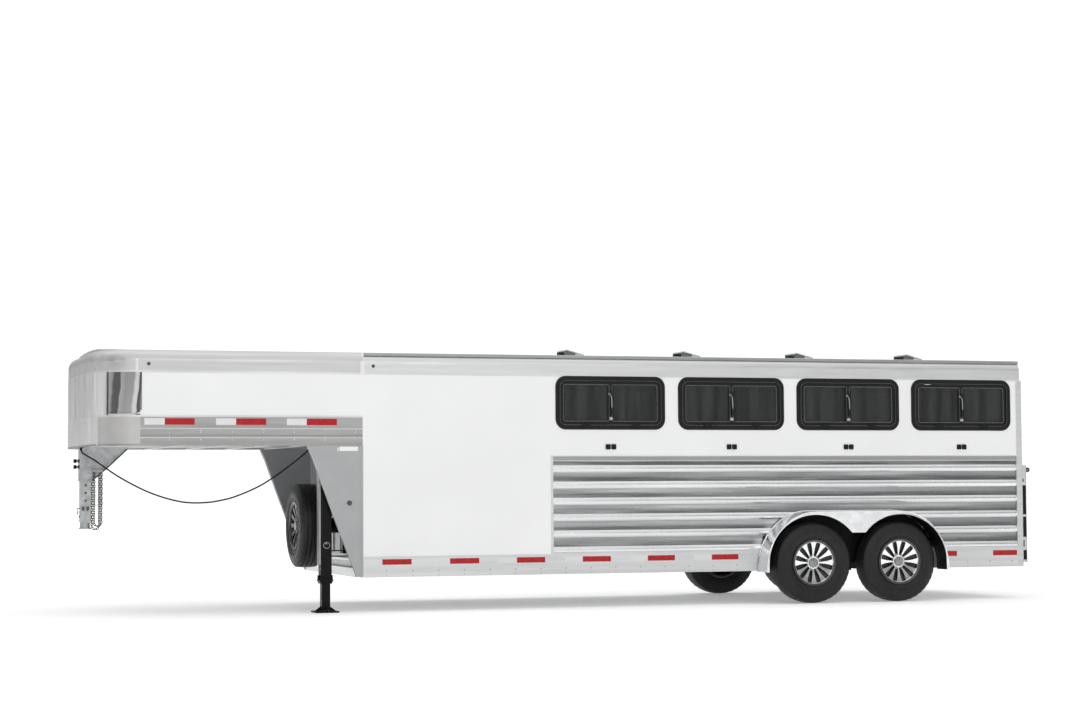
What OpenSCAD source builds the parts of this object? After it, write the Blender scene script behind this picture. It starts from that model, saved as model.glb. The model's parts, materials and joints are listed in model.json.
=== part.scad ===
// Gooseneck livestock trailer: a planked stock area and a tack room on two axles, with a rear ramp.
// Millimetres. +X points forward, +Y to the driver's side and +Z up, and the ground is z = 0.
// Inside the modules x counts forward from the rear face of the body, and piece() centres it.

/* [Body] */
// Length of the body behind the gooseneck nose
body_l = 6700; // [6300:50:8100]
// Length of the nose, from the body's front to the nose's front face
nose_l = 2415; // [2000:5:2900]
// Width of the body over its side panels
body_w = 2140; // [1960:10:2600]
// Height of the roof rail's top above the ground
roof_z = 2347; // [2260:1:2700]
// Height of the lower side rail's underside
rail_z = 311; // [300:1:330]
// Height of the lower side rail
rail_h = 189; // [170:1:220]
// Thickness of the walls, doors and roof
wall_t = 40; // [34:1:46]
// Length of the planked stock area
stock_l = 4890; // [4880:10:5100]
// Height where the planks end and the smooth upper panel starts
plank_top_z = 1405; // [1250:5:1500]
// Number of planks in the side
plank_n = 6; // [4:1:8]
// How far the planks' ribs stand out of their flats
rib_d = 12; // [6:1:16]
// Rise of the roof's crown
crown_h = 35; // [15:1:60]

/* [Roof rail] */
// Height of the roof rail's side
cove_h = 197; // [150:1:240]
// Radius of the roof rail's rounded top edge
cove_r = 100; // [70:1:130]

/* [Nose] */
// Height of the nose's underside
nose_z = 1500; // [1400:5:1560]
// Height of the nose's lower rail
nose_rail_h = 265; // [180:5:300]
// Radius of the nose's corners, seen from above
nose_r = 410; // [300:5:500]
// Distance from the body's front to the wing plates' top corner
wing_l = 500; // [350:5:650]

/* [Windows] */
// Width of a side window over its frame
window_w = 1090; // [900:5:1100]
// Height of a side window over its frame
window_h = 500; // [400:5:520]
// Radius of a window frame's corners
window_r = 100; // [70:5:130]
// Distance between the windows' centres
window_pitch = 1222; // [1160:1:1230]
// Distance from the rear face to the rear window's centre
window_first = 650; // [640:5:680]
// Width of the black window frame, flange and sleeve together
window_frame = 45; // [35:1:60]
// Gap round a moving sash or door
door_gap = 6; // [5:0.5:8]

/* [Doors] */
// Width of the rear corner posts
post_w = 80; // [60:5:100]
// Depth of the rear corner posts
post_d = 45; // [40:5:100]
// Height of the tack room door
side_door_h = 1620; // [1300:10:1650]
// Width of the tack room door
side_door_w = 800; // [600:10:900]
// Height of the ramp's lower edge
ramp_z = 353; // [340:1:370]
// Length of the ramp, from its lower edge to its top
ramp_l = 957; // [800:1:1000]
// Thickness of the ramp's outer skin
ramp_skin = 40; // [30:1:50]
// Thickness of the ramp's inner panel and seal
ramp_core = 45; // [35:1:55]
// Distance from the hinge line to the outside face of a rear door
hinge_d = 14; // [10:1:20]

/* [Running gear] */
// Radius of a tyre
tyre_r = 385; // [360:1:400]
// Width of a tyre
tyre_w = 235; // [200:1:240]
// Radius of the rim's flange
rim_r = 222; // [205:1:235]
// Number of spokes in a wheel
spoke_n = 12; // [8:1:16]
// Distance from the rear face to the middle of the axle pair
axle_x = 1880; // [1800:10:2200]
// Distance between the two axles
axle_gap = 900; // [840:5:960]
// Distance from the centreline to a tyre's middle
wheel_y = 1145; // [1140:1:1160]
// Radius of the wheel spindles
spindle_r = 22; // [18:1:26]
// Distance from the centreline to the outside of the fenders
fender_y = 1295; // [1290:1:1320]
// Height of the fenders' top
fender_z = 872; // [850:1:900]
// Thickness of the fenders' sheet
fender_t = 10; // [6:1:14]

/* [Coupler and jack] */
// Width of the coupler's outer square tube
coupler_w = 112; // [100:1:120]
// Height of the coupler's mouth above the ground
coupler_z = 757; // [700:1:850]
// Radius of the coupler's ball socket
socket_r = 30; // [24:0.5:32]
// Depth of the ball socket
socket_depth = 62; // [50:1:80]
// Width of the jack's outer tube
jack_w = 100; // [90:1:115]
// Width of the jack's foot plate
foot_w = 220; // [160:5:260]

/* [Cable] */
// Diameter of the trailer's electric cable
cable_d = 14; // [10:1:18]

/* [Hidden] */
$fn = 48;

// How far the ramp's latch stands out behind the rear face
latch_d = 125;
front_x = body_l + nose_l;
// The coupler's set bolts reach a little further forward than the nose
coupler_x = front_x - 72;
bolt_l = 48;
bolt_tip_x = coupler_x + coupler_w / 2 + bolt_l;
middle_x = (max(front_x, bolt_tip_x) - latch_d) / 2;
half_w = body_w / 2;
inner_w = half_w - wall_t;
rail_top_z = rail_z + rail_h;
cove_z = roof_z - cove_h;

// Floor: cross members carry the planks, and both stop short of the wheel wells
rail_w = 60;
plank_t = 25;
floor_z = rail_top_z - 10;
member_h = 90;
member_z = floor_z - plank_t - member_h;
member_w = 50;
member_pitch = 406;
beam_w = 73;

// Wheel wells: pockets in the body's sides that the tyres reach into
well_gap = 45;
well_t = 12;
well_y = wheel_y - tyre_w / 2 - 42;
well_x0 = axle_x - axle_gap / 2 - tyre_r - well_gap;
well_x1 = axle_x + axle_gap / 2 + tyre_r + well_gap;
well_top_z = 2 * tyre_r + 72;
// The planks' outer skin covers a well as far as the fender, which hides the skin's edge
skin_y = half_w - rib_d - 12;
skin_inset = 30;
beam_y = well_y - well_t - beam_w;
beam_half = (well_x1 - well_x0) / 2 + member_pitch;
hub_z = tyre_r;

// Axles: a square tube under the floor frame with a trailing arm at each end
axle_tube = 70;
arm_back = 150;
arm_t = 25;
arm_gap = 10;
axle_z = member_z - 5 - axle_tube / 2;
arm_y = wheel_y - tyre_w / 2 - arm_gap - arm_t;

// Windows
window_sill_z = cove_z - window_h;
flange_w = 20;
flange_t = 10;
sash_t = 30;
sash_w = window_w - 2 * window_frame - 2 * door_gap;
sash_h = window_h - 2 * window_frame - 2 * door_gap;
sash_r = window_r - window_frame - door_gap;
sash_y = half_w + 2 - sash_t;
sash_rail = 28;
sash_hinge_y = half_w + flange_t + 8;
sash_hinge_z = window_sill_z + window_frame;
sash_hinge_r = 6;
glass_t = 6;
bumper_w = 50;
bumper_pitch = 55;
bumper_d = 14;

// Side door, hinged at its front edge
side_door_x1 = body_l - 500;
side_door_x0 = side_door_x1 - side_door_w;
leaf_t = wall_t - 4;
hinge_r = 9;
hinge_h = 60;

// Rear opening, between the posts and under the header
rear_open_w = half_w - post_w;
rear_open_z = cove_z + 45;
rear_leaf_z = ramp_z + ramp_l + 10;
ramp_hinge_d = 15;

// Coupler and jack
coupler_tube_z = 1195;
jack_x = body_l + 320;
jack_y = 950;
jack_tube_z = 260;

// Spare wheel, which stands on edge in front of the bulkhead
spare_x = body_l + 380;
spare_y = 400;
spare_z = 775;

// The cable's route from its front gland to its rear gland, forward of the rear face
cable_route = [[9100, 150, 1475], [9088, 156, 1450], [9055, 168, 1427], [8990, 192, 1387],
    [8923, 216, 1337], [8804, 260, 1250], [8685, 304, 1176], [8565, 347, 1112],
    [8460, 386, 1066], [8355, 424, 1030], [8256, 461, 1005], [8190, 485, 995],
    [8100, 519, 991], [7994, 558, 997], [7900, 592, 1013], [7807, 627, 1037],
    [7690, 671, 1083], [7568, 716, 1143], [7475, 750, 1203], [7380, 785, 1272],
    [7275, 824, 1356], [7190, 856, 1430], [7150, 880, 1475]];
cable_steps = 3;
cable_sides = 10;
gland_h = 25;

module piece(tint) {
    color(tint) translate([-middle_x, 0, 0]) children();
}

module block(from, to) {
    translate(from) cube(to - from);
}

module both_sides() {
    children();
    mirror([0, 1, 0]) children();
}

// Extrudes an outline of (y, z) points forward from x0 to x1
module along_x(x0, x1) {
    translate([x0, 0, 0]) rotate([90, 0, 90]) linear_extrude(x1 - x0) children();
}

// Extrudes an outline of (x, z) points across from y0 to y1
module across(y0, y1) {
    translate([0, y1, 0]) rotate([90, 0, 0]) linear_extrude(y1 - y0) children();
}

// A rod from one side to the other, round a line along y
module rod_y(x, y0, y1, z, r) {
    translate([x, y0, z]) rotate([-90, 0, 0]) cylinder(h = y1 - y0, r = r);
}

module rod_x(x0, x1, y, z, r) {
    translate([x0, y, z]) rotate([0, 90, 0]) cylinder(h = x1 - x0, r = r);
}

// A plate in the side's plane, with round corners, centred on x and z
module round_plate(x, z, w, h, r, y0, y1) {
    block([x - w / 2 + r, y0, z - h / 2], [x + w / 2 - r, y1, z + h / 2]);
    block([x - w / 2, y0, z - h / 2 + r], [x + w / 2, y1, z + h / 2 - r]);
    for (sx = [-1, 1], sz = [-1, 1])
        rod_y(x + sx * (w / 2 - r), y0, y1, z + sz * (h / 2 - r), r);
}

// Roof rail section: (outward, z) points of a straight leg under a rounded top edge
cove_steps = 8;
function arc(r, from, to) = [for (i = [0:cove_steps]) let (a = from + (to - from) * i / cove_steps)
    [r * cos(a) - cove_r, roof_z - cove_r + r * sin(a)]];
cove_points = concat([[0, cove_z]], arc(cove_r, 0, 90), arc(cove_r - wall_t, 90, 0), [[-wall_t, cove_z]]);

// Crown of the roof between the rails, t below its outer surface
crown_half = half_w - cove_r;
crown_steps = 12;
function crown(t) = [for (i = [0:crown_steps]) let (u = 1 - 2 * i / crown_steps)
    [crown_half * u, roof_z - t + crown_h * (1 - u * u)]];

// Outline of the space inside the walls, from height z up to the roof's inner surface
module inside_section(z) {
    inner_arc = [for (p = arc(cove_r - wall_t, 0, 90)) [p[0] + half_w, p[1]]];
    polygon(concat([[-inner_w, z], [inner_w, z]], inner_arc, crown(wall_t),
        [for (i = [cove_steps:-1:0]) [-inner_arc[i][0], inner_arc[i][1]]]));
}

// Sweeps (outward, z) points round the nose: two sides, two corners and the front
module around_nose(points) {
    corner_x = front_x - nose_r;
    both_sides() {
        translate([0, half_w, 0]) along_x(body_l, corner_x) polygon(points);
        translate([corner_x, half_w - nose_r, 0]) rotate_extrude(angle = 90)
            translate([nose_r, 0]) polygon(points);
    }
    translate([front_x, 0, 0]) across(nose_r - half_w, half_w - nose_r) polygon(points);
}

// The floor plan inside the nose, d in from its outer face
module nose_plan(x0, d, z0, z1) {
    corner_x = front_x - nose_r;
    r = nose_r - d;
    block([x0, d - half_w, z0], [corner_x, half_w - d, z1]);
    block([x0, nose_r - half_w, z0], [front_x - d, half_w - nose_r, z1]);
    both_sides() translate([corner_x, half_w - nose_r, z0]) cylinder(h = z1 - z0, r = r);
}

// The space that a wheel well takes out of what is round it, as far out as y1
module well_space(y1) {
    both_sides() block([well_x0 - well_t, well_y - well_t, rail_z - 1],
        [well_x1 + well_t, y1, well_top_z + well_t]);
}

module floor_frame() {
    piece("silver") {
        difference() {
            both_sides() block([post_d, half_w - rail_w, rail_z], [body_l, half_w, rail_top_z]);
            well_space(half_w + 1);
        }
        both_sides() block([axle_x - beam_half, beam_y, member_z],
            [axle_x + beam_half, beam_y + beam_w, member_z + member_h]);
    }
}

// Members between the side rails, or between the beams where the wheel wells are, and the front rail
function member_reach(x) = abs(x - axle_x) < beam_half + member_w / 2 ? beam_y : half_w - rail_w;

module cross_members() {
    piece("silver") {
        block([body_l - rail_w, rail_w - half_w, rail_z], [body_l, half_w - rail_w, rail_top_z]);
        for (x = [post_w + member_pitch : member_pitch : body_l - 2 * rail_w])
            block([x - member_w / 2, -member_reach(x), member_z],
                [x + member_w / 2, member_reach(x), member_z + member_h]);
    }
}

module floor_planks() {
    piece("gainsboro") difference() {
        block([post_d, rail_w - half_w, floor_z - plank_t], [body_l - rail_w, half_w - rail_w, floor_z]);
        well_space(half_w);
    }
}

module wheel_wells() {
    piece([0.05, 0.05, 0.05]) both_sides() difference() {
        block([well_x0 - well_t, well_y - well_t, member_z],
            [well_x1 + well_t, skin_y, well_top_z + well_t]);
        block([well_x0, well_y, member_z - 1], [well_x1, skin_y + 1, well_top_z]);
    }
}

module axle(x) {
    tube_x = x + arm_back;
    arm_end = arm_y + arm_t;
    dir = unit([arm_back, axle_z - hub_z]);
    side = 30 * [-dir[1], dir[0]];
    hub = [x, hub_z];
    pivot = [tube_x, axle_z];
    block([tube_x - axle_tube / 2, -arm_y - 5, axle_z - axle_tube / 2],
        [tube_x + axle_tube / 2, arm_y + 5, axle_z + axle_tube / 2]);
    both_sides() {
        block([tube_x - 60, beam_y, axle_z], [tube_x + 60, beam_y + beam_w, member_z]);
        across(arm_y, arm_end) union() {
            translate(pivot) circle(r = 46);
            translate(hub) circle(r = 40);
            polygon([hub - side, pivot - side, pivot + side, hub + side]);
        }
        rod_y(x, arm_end - 5, wheel_y + 38, hub_z, spindle_r);
    }
}

module axles() {
    piece([0.12, 0.12, 0.13]) for (s = [-1, 1]) axle(axle_x + s * axle_gap / 2);
}

// Outline of a fender, t in from its outer surface: a quarter ellipse at each end and a flat top
function fender_outline(t) = let (rx = 512 - t, rz = fender_z - 302 - t, n = 12)
    concat([for (i = [0:n]) [axle_x + axle_gap / 2 + rx * cos(90 * i / n), 302 + rz * sin(90 * i / n)]],
        [for (i = [0:n]) [axle_x - axle_gap / 2 - rx * sin(90 * i / n), 302 + rz * cos(90 * i / n)]]);

// Outline of one wheel arch: a half ellipse over the hub with straight legs below it
arch_rx = tyre_r + 100;
arch_rz = tyre_r + 72;
arch_steps = 24;
function arch_outline(x) = concat([[x + arch_rx, rail_z - 20]],
    [for (i = [0:arch_steps]) let (a = 180 * i / arch_steps) [x + arch_rx * cos(a), hub_z + arch_rz * sin(a)]],
    [[x - arch_rx, rail_z - 20]]);

module fender() {
    skirt_z = 672;
    difference() {
        across(half_w, fender_y) polygon(fender_outline(0));
        translate([0, 0, -1]) across(half_w - 1, fender_y - fender_t) polygon(fender_outline(fender_t));
        for (s = [-1, 1]) across(half_w, fender_y + 1) polygon(arch_outline(axle_x + s * axle_gap / 2));
        block([axle_x - axle_gap / 2, half_w, rail_z - 20], [axle_x + axle_gap / 2, fender_y + 1, skirt_z]);
    }
}

module fenders() {
    piece("silver") both_sides() fender();
}

module rear_frame() {
    piece("whitesmoke") {
        both_sides() block([0, rear_open_w, rail_z], [post_d, half_w, cove_z]);
        block([0, -rear_open_w, rail_z], [post_d, rear_open_w, floor_z]);
        along_x(0, post_d) intersection() {
            inside_section(cove_z);
            translate([-half_w, rear_open_z]) square([body_w, roof_z]);
        }
        both_sides() block([0, rear_open_w, cove_z], [post_d, inner_w, rear_open_z]);
    }
}

// One side's planks: each has a rib along its foot with a flat above it
plank_h = (plank_top_z - rail_top_z) / plank_n;
function plank_points(z) = [[half_w - rib_d, z], [half_w, z + plank_h * 0.1],
    [half_w, z + plank_h * 0.32], [half_w - rib_d, z + plank_h * 0.42], [half_w - rib_d, z + plank_h]];

module plank_walls() {
    outline = concat([[inner_w, rail_top_z]],
        [for (i = [0:plank_n - 1]) each plank_points(rail_top_z + i * plank_h)], [[inner_w, plank_top_z]]);
    piece("silver") difference() {
        both_sides() along_x(post_d, stock_l) polygon(outline);
        well_space(skin_y);
        both_sides() across(skin_y - 1, half_w + 1) polygon(fender_outline(skin_inset));
    }
}

function window_x(i) = window_first + i * window_pitch;
window_z = window_sill_z + window_h / 2;

module upper_panels() {
    hole_w = window_w - 2 * flange_w;
    hole_h = window_h - 2 * flange_w;
    piece("white") both_sides() difference() {
        block([post_d, inner_w, plank_top_z], [stock_l, half_w, cove_z]);
        for (i = [0:3]) round_plate(window_x(i), window_z, hole_w, hole_h, window_r - flange_w,
            inner_w - 1, half_w + 1);
    }
}

module tack_panels() {
    piece("white") difference() {
        both_sides() block([stock_l, inner_w, rail_top_z], [body_l, half_w, cove_z]);
        block([side_door_x0, -half_w - 1, rail_top_z - 1],
            [side_door_x1, -inner_w + 1, rail_top_z + side_door_h]);
    }
}

module body_roof_rails() {
    piece("lightgrey") both_sides() translate([0, half_w, 0]) along_x(0, body_l) polygon(cove_points);
}

module nose_roof_rail() {
    piece("silver") around_nose(cove_points);
}

module roof_skin() {
    under = crown(wall_t);
    piece("white") intersection() {
        along_x(0, front_x - cove_r)
            polygon(concat(crown(0), [for (i = [crown_steps:-1:0]) under[i]]));
        nose_plan(0, cove_r, roof_z - wall_t - 1, roof_z + crown_h + 1);
    }
}

module roof_vents() {
    top_z = roof_z + crown_h;
    piece("dimgrey") for (i = [0:3]) translate([window_x(i), 0, 0]) {
        across(-130, 130) polygon([[-75, top_z], [130, top_z], [130, top_z + 60], [110, top_z + 75],
            [-75, top_z + 25]]);
    }
}

module front_bulkhead() {
    piece("gainsboro") block([body_l - wall_t, -inner_w, rail_top_z], [body_l, inner_w, nose_z]);
}

module tack_room_wall() {
    piece("silver") along_x(stock_l - wall_t / 2, stock_l + wall_t / 2)
        inside_section(rail_top_z);
}

module wing_plates() {
    foot_z = rail_z + 11;
    piece("grey") both_sides() across(half_w - 30, half_w) polygon([[body_l, foot_z], [body_l + 47, foot_z],
        [body_l + 207, 733], [body_l + wing_l - 47, nose_z - 103], [body_l + wing_l, nose_z],
        [body_l, nose_z]]);
}

module nose_rail() {
    z1 = nose_z + nose_rail_h;
    groove = 5;
    piece("silver") around_nose([[-wall_t, nose_z], [0, nose_z], [0, nose_z + 70], [-groove, nose_z + 75],
        [-groove, nose_z + 90], [0, nose_z + 95], [0, z1], [-wall_t, z1]]);
}

module nose_panels() {
    z0 = nose_z + nose_rail_h;
    corner_x = front_x - nose_r;
    piece("white") {
        both_sides() block([body_l, inner_w, z0], [corner_x, half_w, cove_z]);
        block([front_x - wall_t, nose_r - half_w, z0], [front_x, half_w - nose_r, cove_z]);
    }
}

module nose_corners() {
    z0 = nose_z + nose_rail_h;
    piece("lightsteelblue") both_sides() translate([front_x - nose_r, half_w - nose_r, z0])
        rotate_extrude(angle = 90) translate([nose_r - wall_t, 0]) square([wall_t, cove_z - z0]);
}

nose_beam_h = 60;
module nose_floor() {
    beam_pitch = 390;
    last_beam = front_x - nose_r - 60;
    piece("silver") {
        nose_plan(body_l, wall_t, nose_z + nose_beam_h, nose_z + nose_beam_h + plank_t);
        for (x = [body_l + 60 : beam_pitch : last_beam])
            block([x - 25, -inner_w, nose_z], [x + 25, inner_w, nose_z + nose_beam_h]);
        both_sides() block([body_l, 120, nose_z], [front_x - wall_t, 180, nose_z + nose_beam_h]);
        block([coupler_x - 390, -120, nose_z], [front_x - wall_t, 120, nose_z + nose_beam_h]);
    }
}

module coupler_tube() {
    h = coupler_w / 2;
    post_h = h - 8;
    bolt_z = [1324, 1378];
    piece([0.55, 0.56, 0.57]) {
        difference() {
            block([coupler_x - h, -h, coupler_tube_z], [coupler_x + h, h, nose_z]);
            block([coupler_x - post_h, -post_h, coupler_tube_z - 1],
                [coupler_x + post_h, post_h, nose_z - 10]);
        }
        both_sides() across(h - 12, h) polygon([[coupler_x - h, coupler_tube_z],
            [coupler_x - h, nose_z], [coupler_x - 385, nose_z], [coupler_x - 195, 1318]]);
        for (z = bolt_z) rod_x(coupler_x + h, bolt_tip_x, 0, z, 12);
    }
}

module coupler_post() {
    h = coupler_w / 2 - 9;
    wall = 8;
    socket_out = socket_r + 16;
    plate_z = coupler_z + socket_depth + 12;
    piece([0.5, 0.51, 0.52]) difference() {
        union() {
            difference() {
                block([coupler_x - h, -h, plate_z], [coupler_x + h, h, coupler_tube_z + 180]);
                block([coupler_x - h + wall, -h + wall, plate_z + 10],
                    [coupler_x + h - wall, h - wall, coupler_tube_z + 181]);
            }
            translate([coupler_x, 0, coupler_z]) cylinder(h = plate_z - coupler_z, r = socket_out);
            translate([coupler_x, 0, coupler_z]) cylinder(h = 14, r = socket_out + 12);
            block([coupler_x - h, -h, plate_z - 14], [coupler_x + h, h, plate_z]);
        }
        translate([coupler_x, 0, coupler_z - 1]) cylinder(h = socket_depth + 1, r = socket_r);
        for (i = [0:2]) rod_y(coupler_x, -h - 1, h + 1, 1017 + 70 * i, 8);
    }
}

// A doubled strand of chain: two legs joined by a half ring at the bottom
module chain(x, y, z_top, z_bottom, gap) {
    r = 11;
    for (s = [-1, 1]) translate([x + s * gap / 2, y, z_bottom + gap / 2])
        cylinder(h = z_top - z_bottom - gap / 2, r = r);
    translate([x, y, z_bottom + gap / 2]) rotate([-90, 0, 0]) rotate_extrude(angle = 180)
        translate([gap / 2, 0]) circle(r = r);
}

module safety_chains() {
    piece("silver") {
        chain(coupler_x - 105, 78, coupler_tube_z + 90, coupler_z + 30, 60);
        chain(coupler_x - 105, -78, coupler_tube_z + 90, coupler_z, 60);
    }
}

// Rings of points round a smooth curve through the route
function curve_point(p0, p1, p2, p3, t) = 0.5 * ((2 * p1) + (p2 - p0) * t
    + (2 * p0 - 5 * p1 + 4 * p2 - p3) * t * t + (3 * p1 - p0 - 3 * p2 + p3) * t * t * t);
function route_at(route, i) = route[max(0, min(len(route) - 1, i))];
function smooth(route, steps) = concat([for (i = [0:len(route) - 2], k = [0:steps - 1])
    curve_point(route_at(route, i - 1), route[i], route[i + 1], route_at(route, i + 2), k / steps)],
    [route[len(route) - 1]]);
function unit(v) = v / norm(v);

module swept_tube(route, r, sides, steps) {
    path = smooth(route, steps);
    n = len(path);
    across_dir = [0.3, -0.95, 0];
    rings = [for (i = [0:n - 1]) let (along = i == 0 || i == n - 1 ? [0, 0, i == 0 ? -1 : 1]
        : unit(path[i + 1] - path[i - 1]), u = unit(cross(across_dir, along)), v = cross(along, u))
        for (k = [0:sides - 1]) path[i] + r * (cos(360 * k / sides) * u + sin(360 * k / sides) * v)];
    faces = concat([[for (k = [0:sides - 1]) k]],
        [for (i = [0:n - 2], k = [0:sides - 1]) let (a = i * sides + k, b = i * sides + (k + 1) % sides)
            [a, a + sides, b + sides, b]],
        [[for (k = [sides - 1:-1:0]) (n - 1) * sides + k]]);
    polyhedron(points = rings, faces = faces, convexity = 6);
}

module trailer_cable() {
    piece([0.04, 0.04, 0.04]) swept_tube(cable_route, cable_d / 2, cable_sides, cable_steps);
}

module cable_glands() {
    piece([0.1, 0.1, 0.1]) for (p = [cable_route[0], cable_route[len(cable_route) - 1]])
        translate([p[0], p[1], nose_z - gland_h]) {
            cylinder(h = gland_h, r = cable_d / 2 + 6);
        }
}

module jack_tube() {
    h = jack_w / 2;
    upper = 36;
    piece([0.06, 0.06, 0.07]) {
        difference() {
            block([jack_x - h, jack_y - h, jack_tube_z], [jack_x + h, jack_y + h, 1170]);
            block([jack_x - h + 8, jack_y - h + 8, jack_tube_z - 1], [jack_x + h - 8, jack_y + h - 8, 1150]);
        }
        block([jack_x - upper, jack_y - upper, 1170], [jack_x + upper, jack_y + upper, 1300]);
        for (z = [530, 900]) block([body_l, jack_y - 30, z - 35], [jack_x - h, jack_y + 30, z + 35]);
    }
}

module jack_leg() {
    h = jack_w / 2 - 11;
    foot_t = 15;
    piece([0.08, 0.08, 0.09]) {
        block([jack_x - h, jack_y - h, foot_t], [jack_x + h, jack_y + h, 700]);
        block([jack_x - foot_w / 2, jack_y - foot_w / 2, 0],
            [jack_x + foot_w / 2, jack_y + foot_w / 2, foot_t]);
    }
}

rim_seat = rim_r - 16;

// Tyre section as (radius, across) points: a full round shoulder, open towards the rim
function tyre_arc(t, from, to) = let (n = 2.8, mid = (tyre_r + rim_seat) / 2, steps = 14)
    [for (i = [0:steps]) let (a = from + (to - from) * i / steps, c = cos(a), s = sin(a))
        [mid + (tyre_r - mid - t) * sign(s) * pow(abs(s), 2 / n),
        (tyre_w / 2 - t) * sign(c) * pow(abs(c), 2 / n)]];

// The tyre's beads sit on the rim's seat, just inside its flanges
bead_y = 94;
bead_w = 14;
tyre_wall = 16;

module tyre_solid() {
    rotate_extrude($fn = 64) polygon(concat([[rim_seat, bead_y], [rim_r + 4, bead_y]], tyre_arc(0, -35, 215),
        [[rim_r + 4, -bead_y], [rim_seat, -bead_y]], [[rim_seat, bead_w - bead_y]], tyre_arc(tyre_wall, 215, -35),
        [[rim_seat, bead_y - bead_w]]));
}

bearing_gap = 0.05;

// A wheel about z, with its outside towards +z
module rim_solid() {
    t = 9;
    bore_r = rim_seat - t;
    well_r = rim_seat - 26;
    flange_y = 105;
    hub_r = 62;
    drum_r = 155;
    barrel = [[rim_seat, -bead_y - 1], [rim_r, -bead_y - 6], [rim_r, -flange_y], [bore_r, -flange_y],
        [bore_r, -76], [well_r, -60], [well_r, 40], [bore_r, 60], [bore_r, flange_y],
        [rim_r, flange_y], [rim_r, bead_y + 6], [rim_seat, bead_y + 1], [rim_seat, 62],
        [rim_seat - 16, 42], [rim_seat - 16, -62], [rim_seat, -78]];
    difference() {
        union() {
            rotate_extrude($fn = 64) polygon(barrel);
            rotate_extrude($fn = 64)
                polygon([[hub_r, 36], [bore_r, 78], [bore_r, 96], [130, 80], [hub_r, 62]]);
        }
        for (i = [0:spoke_n - 1]) rotate(360 / spoke_n * i)
            linear_extrude(120) polygon([[96, -9], [bore_r - 8, -30], [bore_r - 8, 30], [96, 9]]);
    }
    difference() {
        union() {
            translate([0, 0, -60]) cylinder(h = 132, r = hub_r);
            translate([0, 0, -60]) cylinder(h = 8, r = drum_r);
            translate([0, 0, -95]) cylinder(h = 36, r = drum_r);
        }
        translate([0, 0, -96]) cylinder(h = 36, r = drum_r - 8);
        translate([0, 0, -96]) cylinder(h = 140, r = spindle_r + bearing_gap);
    }
}

module at_wheel(along, side) {
    translate([axle_x + along * axle_gap / 2, side * wheel_y, hub_z]) rotate([-90 * side, 0, 0]) children();
}

module at_spare() {
    translate([spare_x, spare_y, spare_z]) rotate([0, 90, 0]) children();
}

module tyre(along, side) {
    piece([0.05, 0.05, 0.05]) at_wheel(along, side) tyre_solid();
}

module rim(along, side) {
    piece("silver") at_wheel(along, side) rim_solid();
}

module spare_tyre() {
    piece([0.05, 0.05, 0.05]) at_spare() tyre_solid();
}

module spare_rim() {
    piece("silver") at_spare() rim_solid();
}

module spare_bracket() {
    reach = spare_x - body_l;
    piece([0.1, 0.1, 0.1]) {
        rod_x(body_l, body_l + reach - 97, spare_y, spare_z, 70);
        block([body_l, spare_y - 60, spare_z - 260], [body_l + 40, spare_y + 60, spare_z + 260]);
    }
}

module marker_lamps() {
    lamp_z = cove_z + 70;
    piece("orange") both_sides() for (x = [body_l - 100, front_x - nose_r - 100])
        rod_y(x, half_w, half_w + 12, lamp_z, 14);
}

module tail_lamps() {
    piece("firebrick") both_sides() for (z = [rail_top_z + 120, 1500])
        block([-12, rear_open_w + 38, z], [0, half_w - 12, z + 160]);
}

module window_frame_at(i) {
    open_w = window_w - 2 * window_frame;
    open_h = window_h - 2 * window_frame;
    difference() {
        union() {
            round_plate(window_x(i), window_z, window_w, window_h, window_r, half_w, half_w + flange_t);
            round_plate(window_x(i), window_z, window_w - 2 * flange_w, window_h - 2 * flange_w,
                window_r - flange_w, inner_w, half_w + 1);
        }
        round_plate(window_x(i), window_z, open_w, open_h, window_r - window_frame,
            inner_w - 1, half_w + flange_t + 1);
    }
}

module window_frames() {
    piece([0.03, 0.03, 0.03]) both_sides() for (i = [0:3]) window_frame_at(i);
}

module fixed_window_glass() {
    open_w = window_w - 2 * window_frame;
    open_h = window_h - 2 * window_frame;
    piece([0.1, 0.1, 0.12, 0.7]) mirror([0, 1, 0]) for (i = [0:3])
        round_plate(window_x(i), window_z, open_w, open_h, window_r - window_frame, half_w - 18, half_w - 12);
}

module window_bumpers() {
    z = window_sill_z - 160;
    h = bumper_w / 2;
    piece([0.03, 0.03, 0.03]) for (i = [0:3], s = [-1, 1])
        block([window_x(i) + s * bumper_pitch / 2 - h, half_w, z - h],
            [window_x(i) + s * bumper_pitch / 2 + h, half_w + bumper_d, z + h]);
}

// A drop-down sash on the driver's side: a ring with a centre mullion and a grab handle
module window_sash(i) {
    x = window_x(i);
    y1 = sash_y + sash_t;
    light_w = (sash_w - 3 * sash_rail) / 2;
    light_h = sash_h - 2 * sash_rail;
    grip_h = 220;
    piece([0.03, 0.03, 0.03]) {
        difference() {
            round_plate(x, window_z, sash_w, sash_h, sash_r, sash_y, y1);
            for (s = [-1, 1]) round_plate(x + s * (light_w + sash_rail) / 2, window_z, light_w, light_h,
                sash_r - sash_rail + 5, sash_y - 1, y1 + 1);
        }
        block([x - 7, y1, window_z - grip_h / 2], [x + 7, y1 + 24, window_z + grip_h / 2]);
        for (s = [-1, 1]) {
            rod_x(x + s * sash_w / 4 - 40, x + s * sash_w / 4 + 40, sash_hinge_y, sash_hinge_z, sash_hinge_r);
            block([x + s * sash_w / 4 - 40, y1 - 1, sash_hinge_z + 3],
                [x + s * sash_w / 4 + 40, sash_hinge_y, sash_hinge_z + 16]);
        }
    }
}

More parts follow.
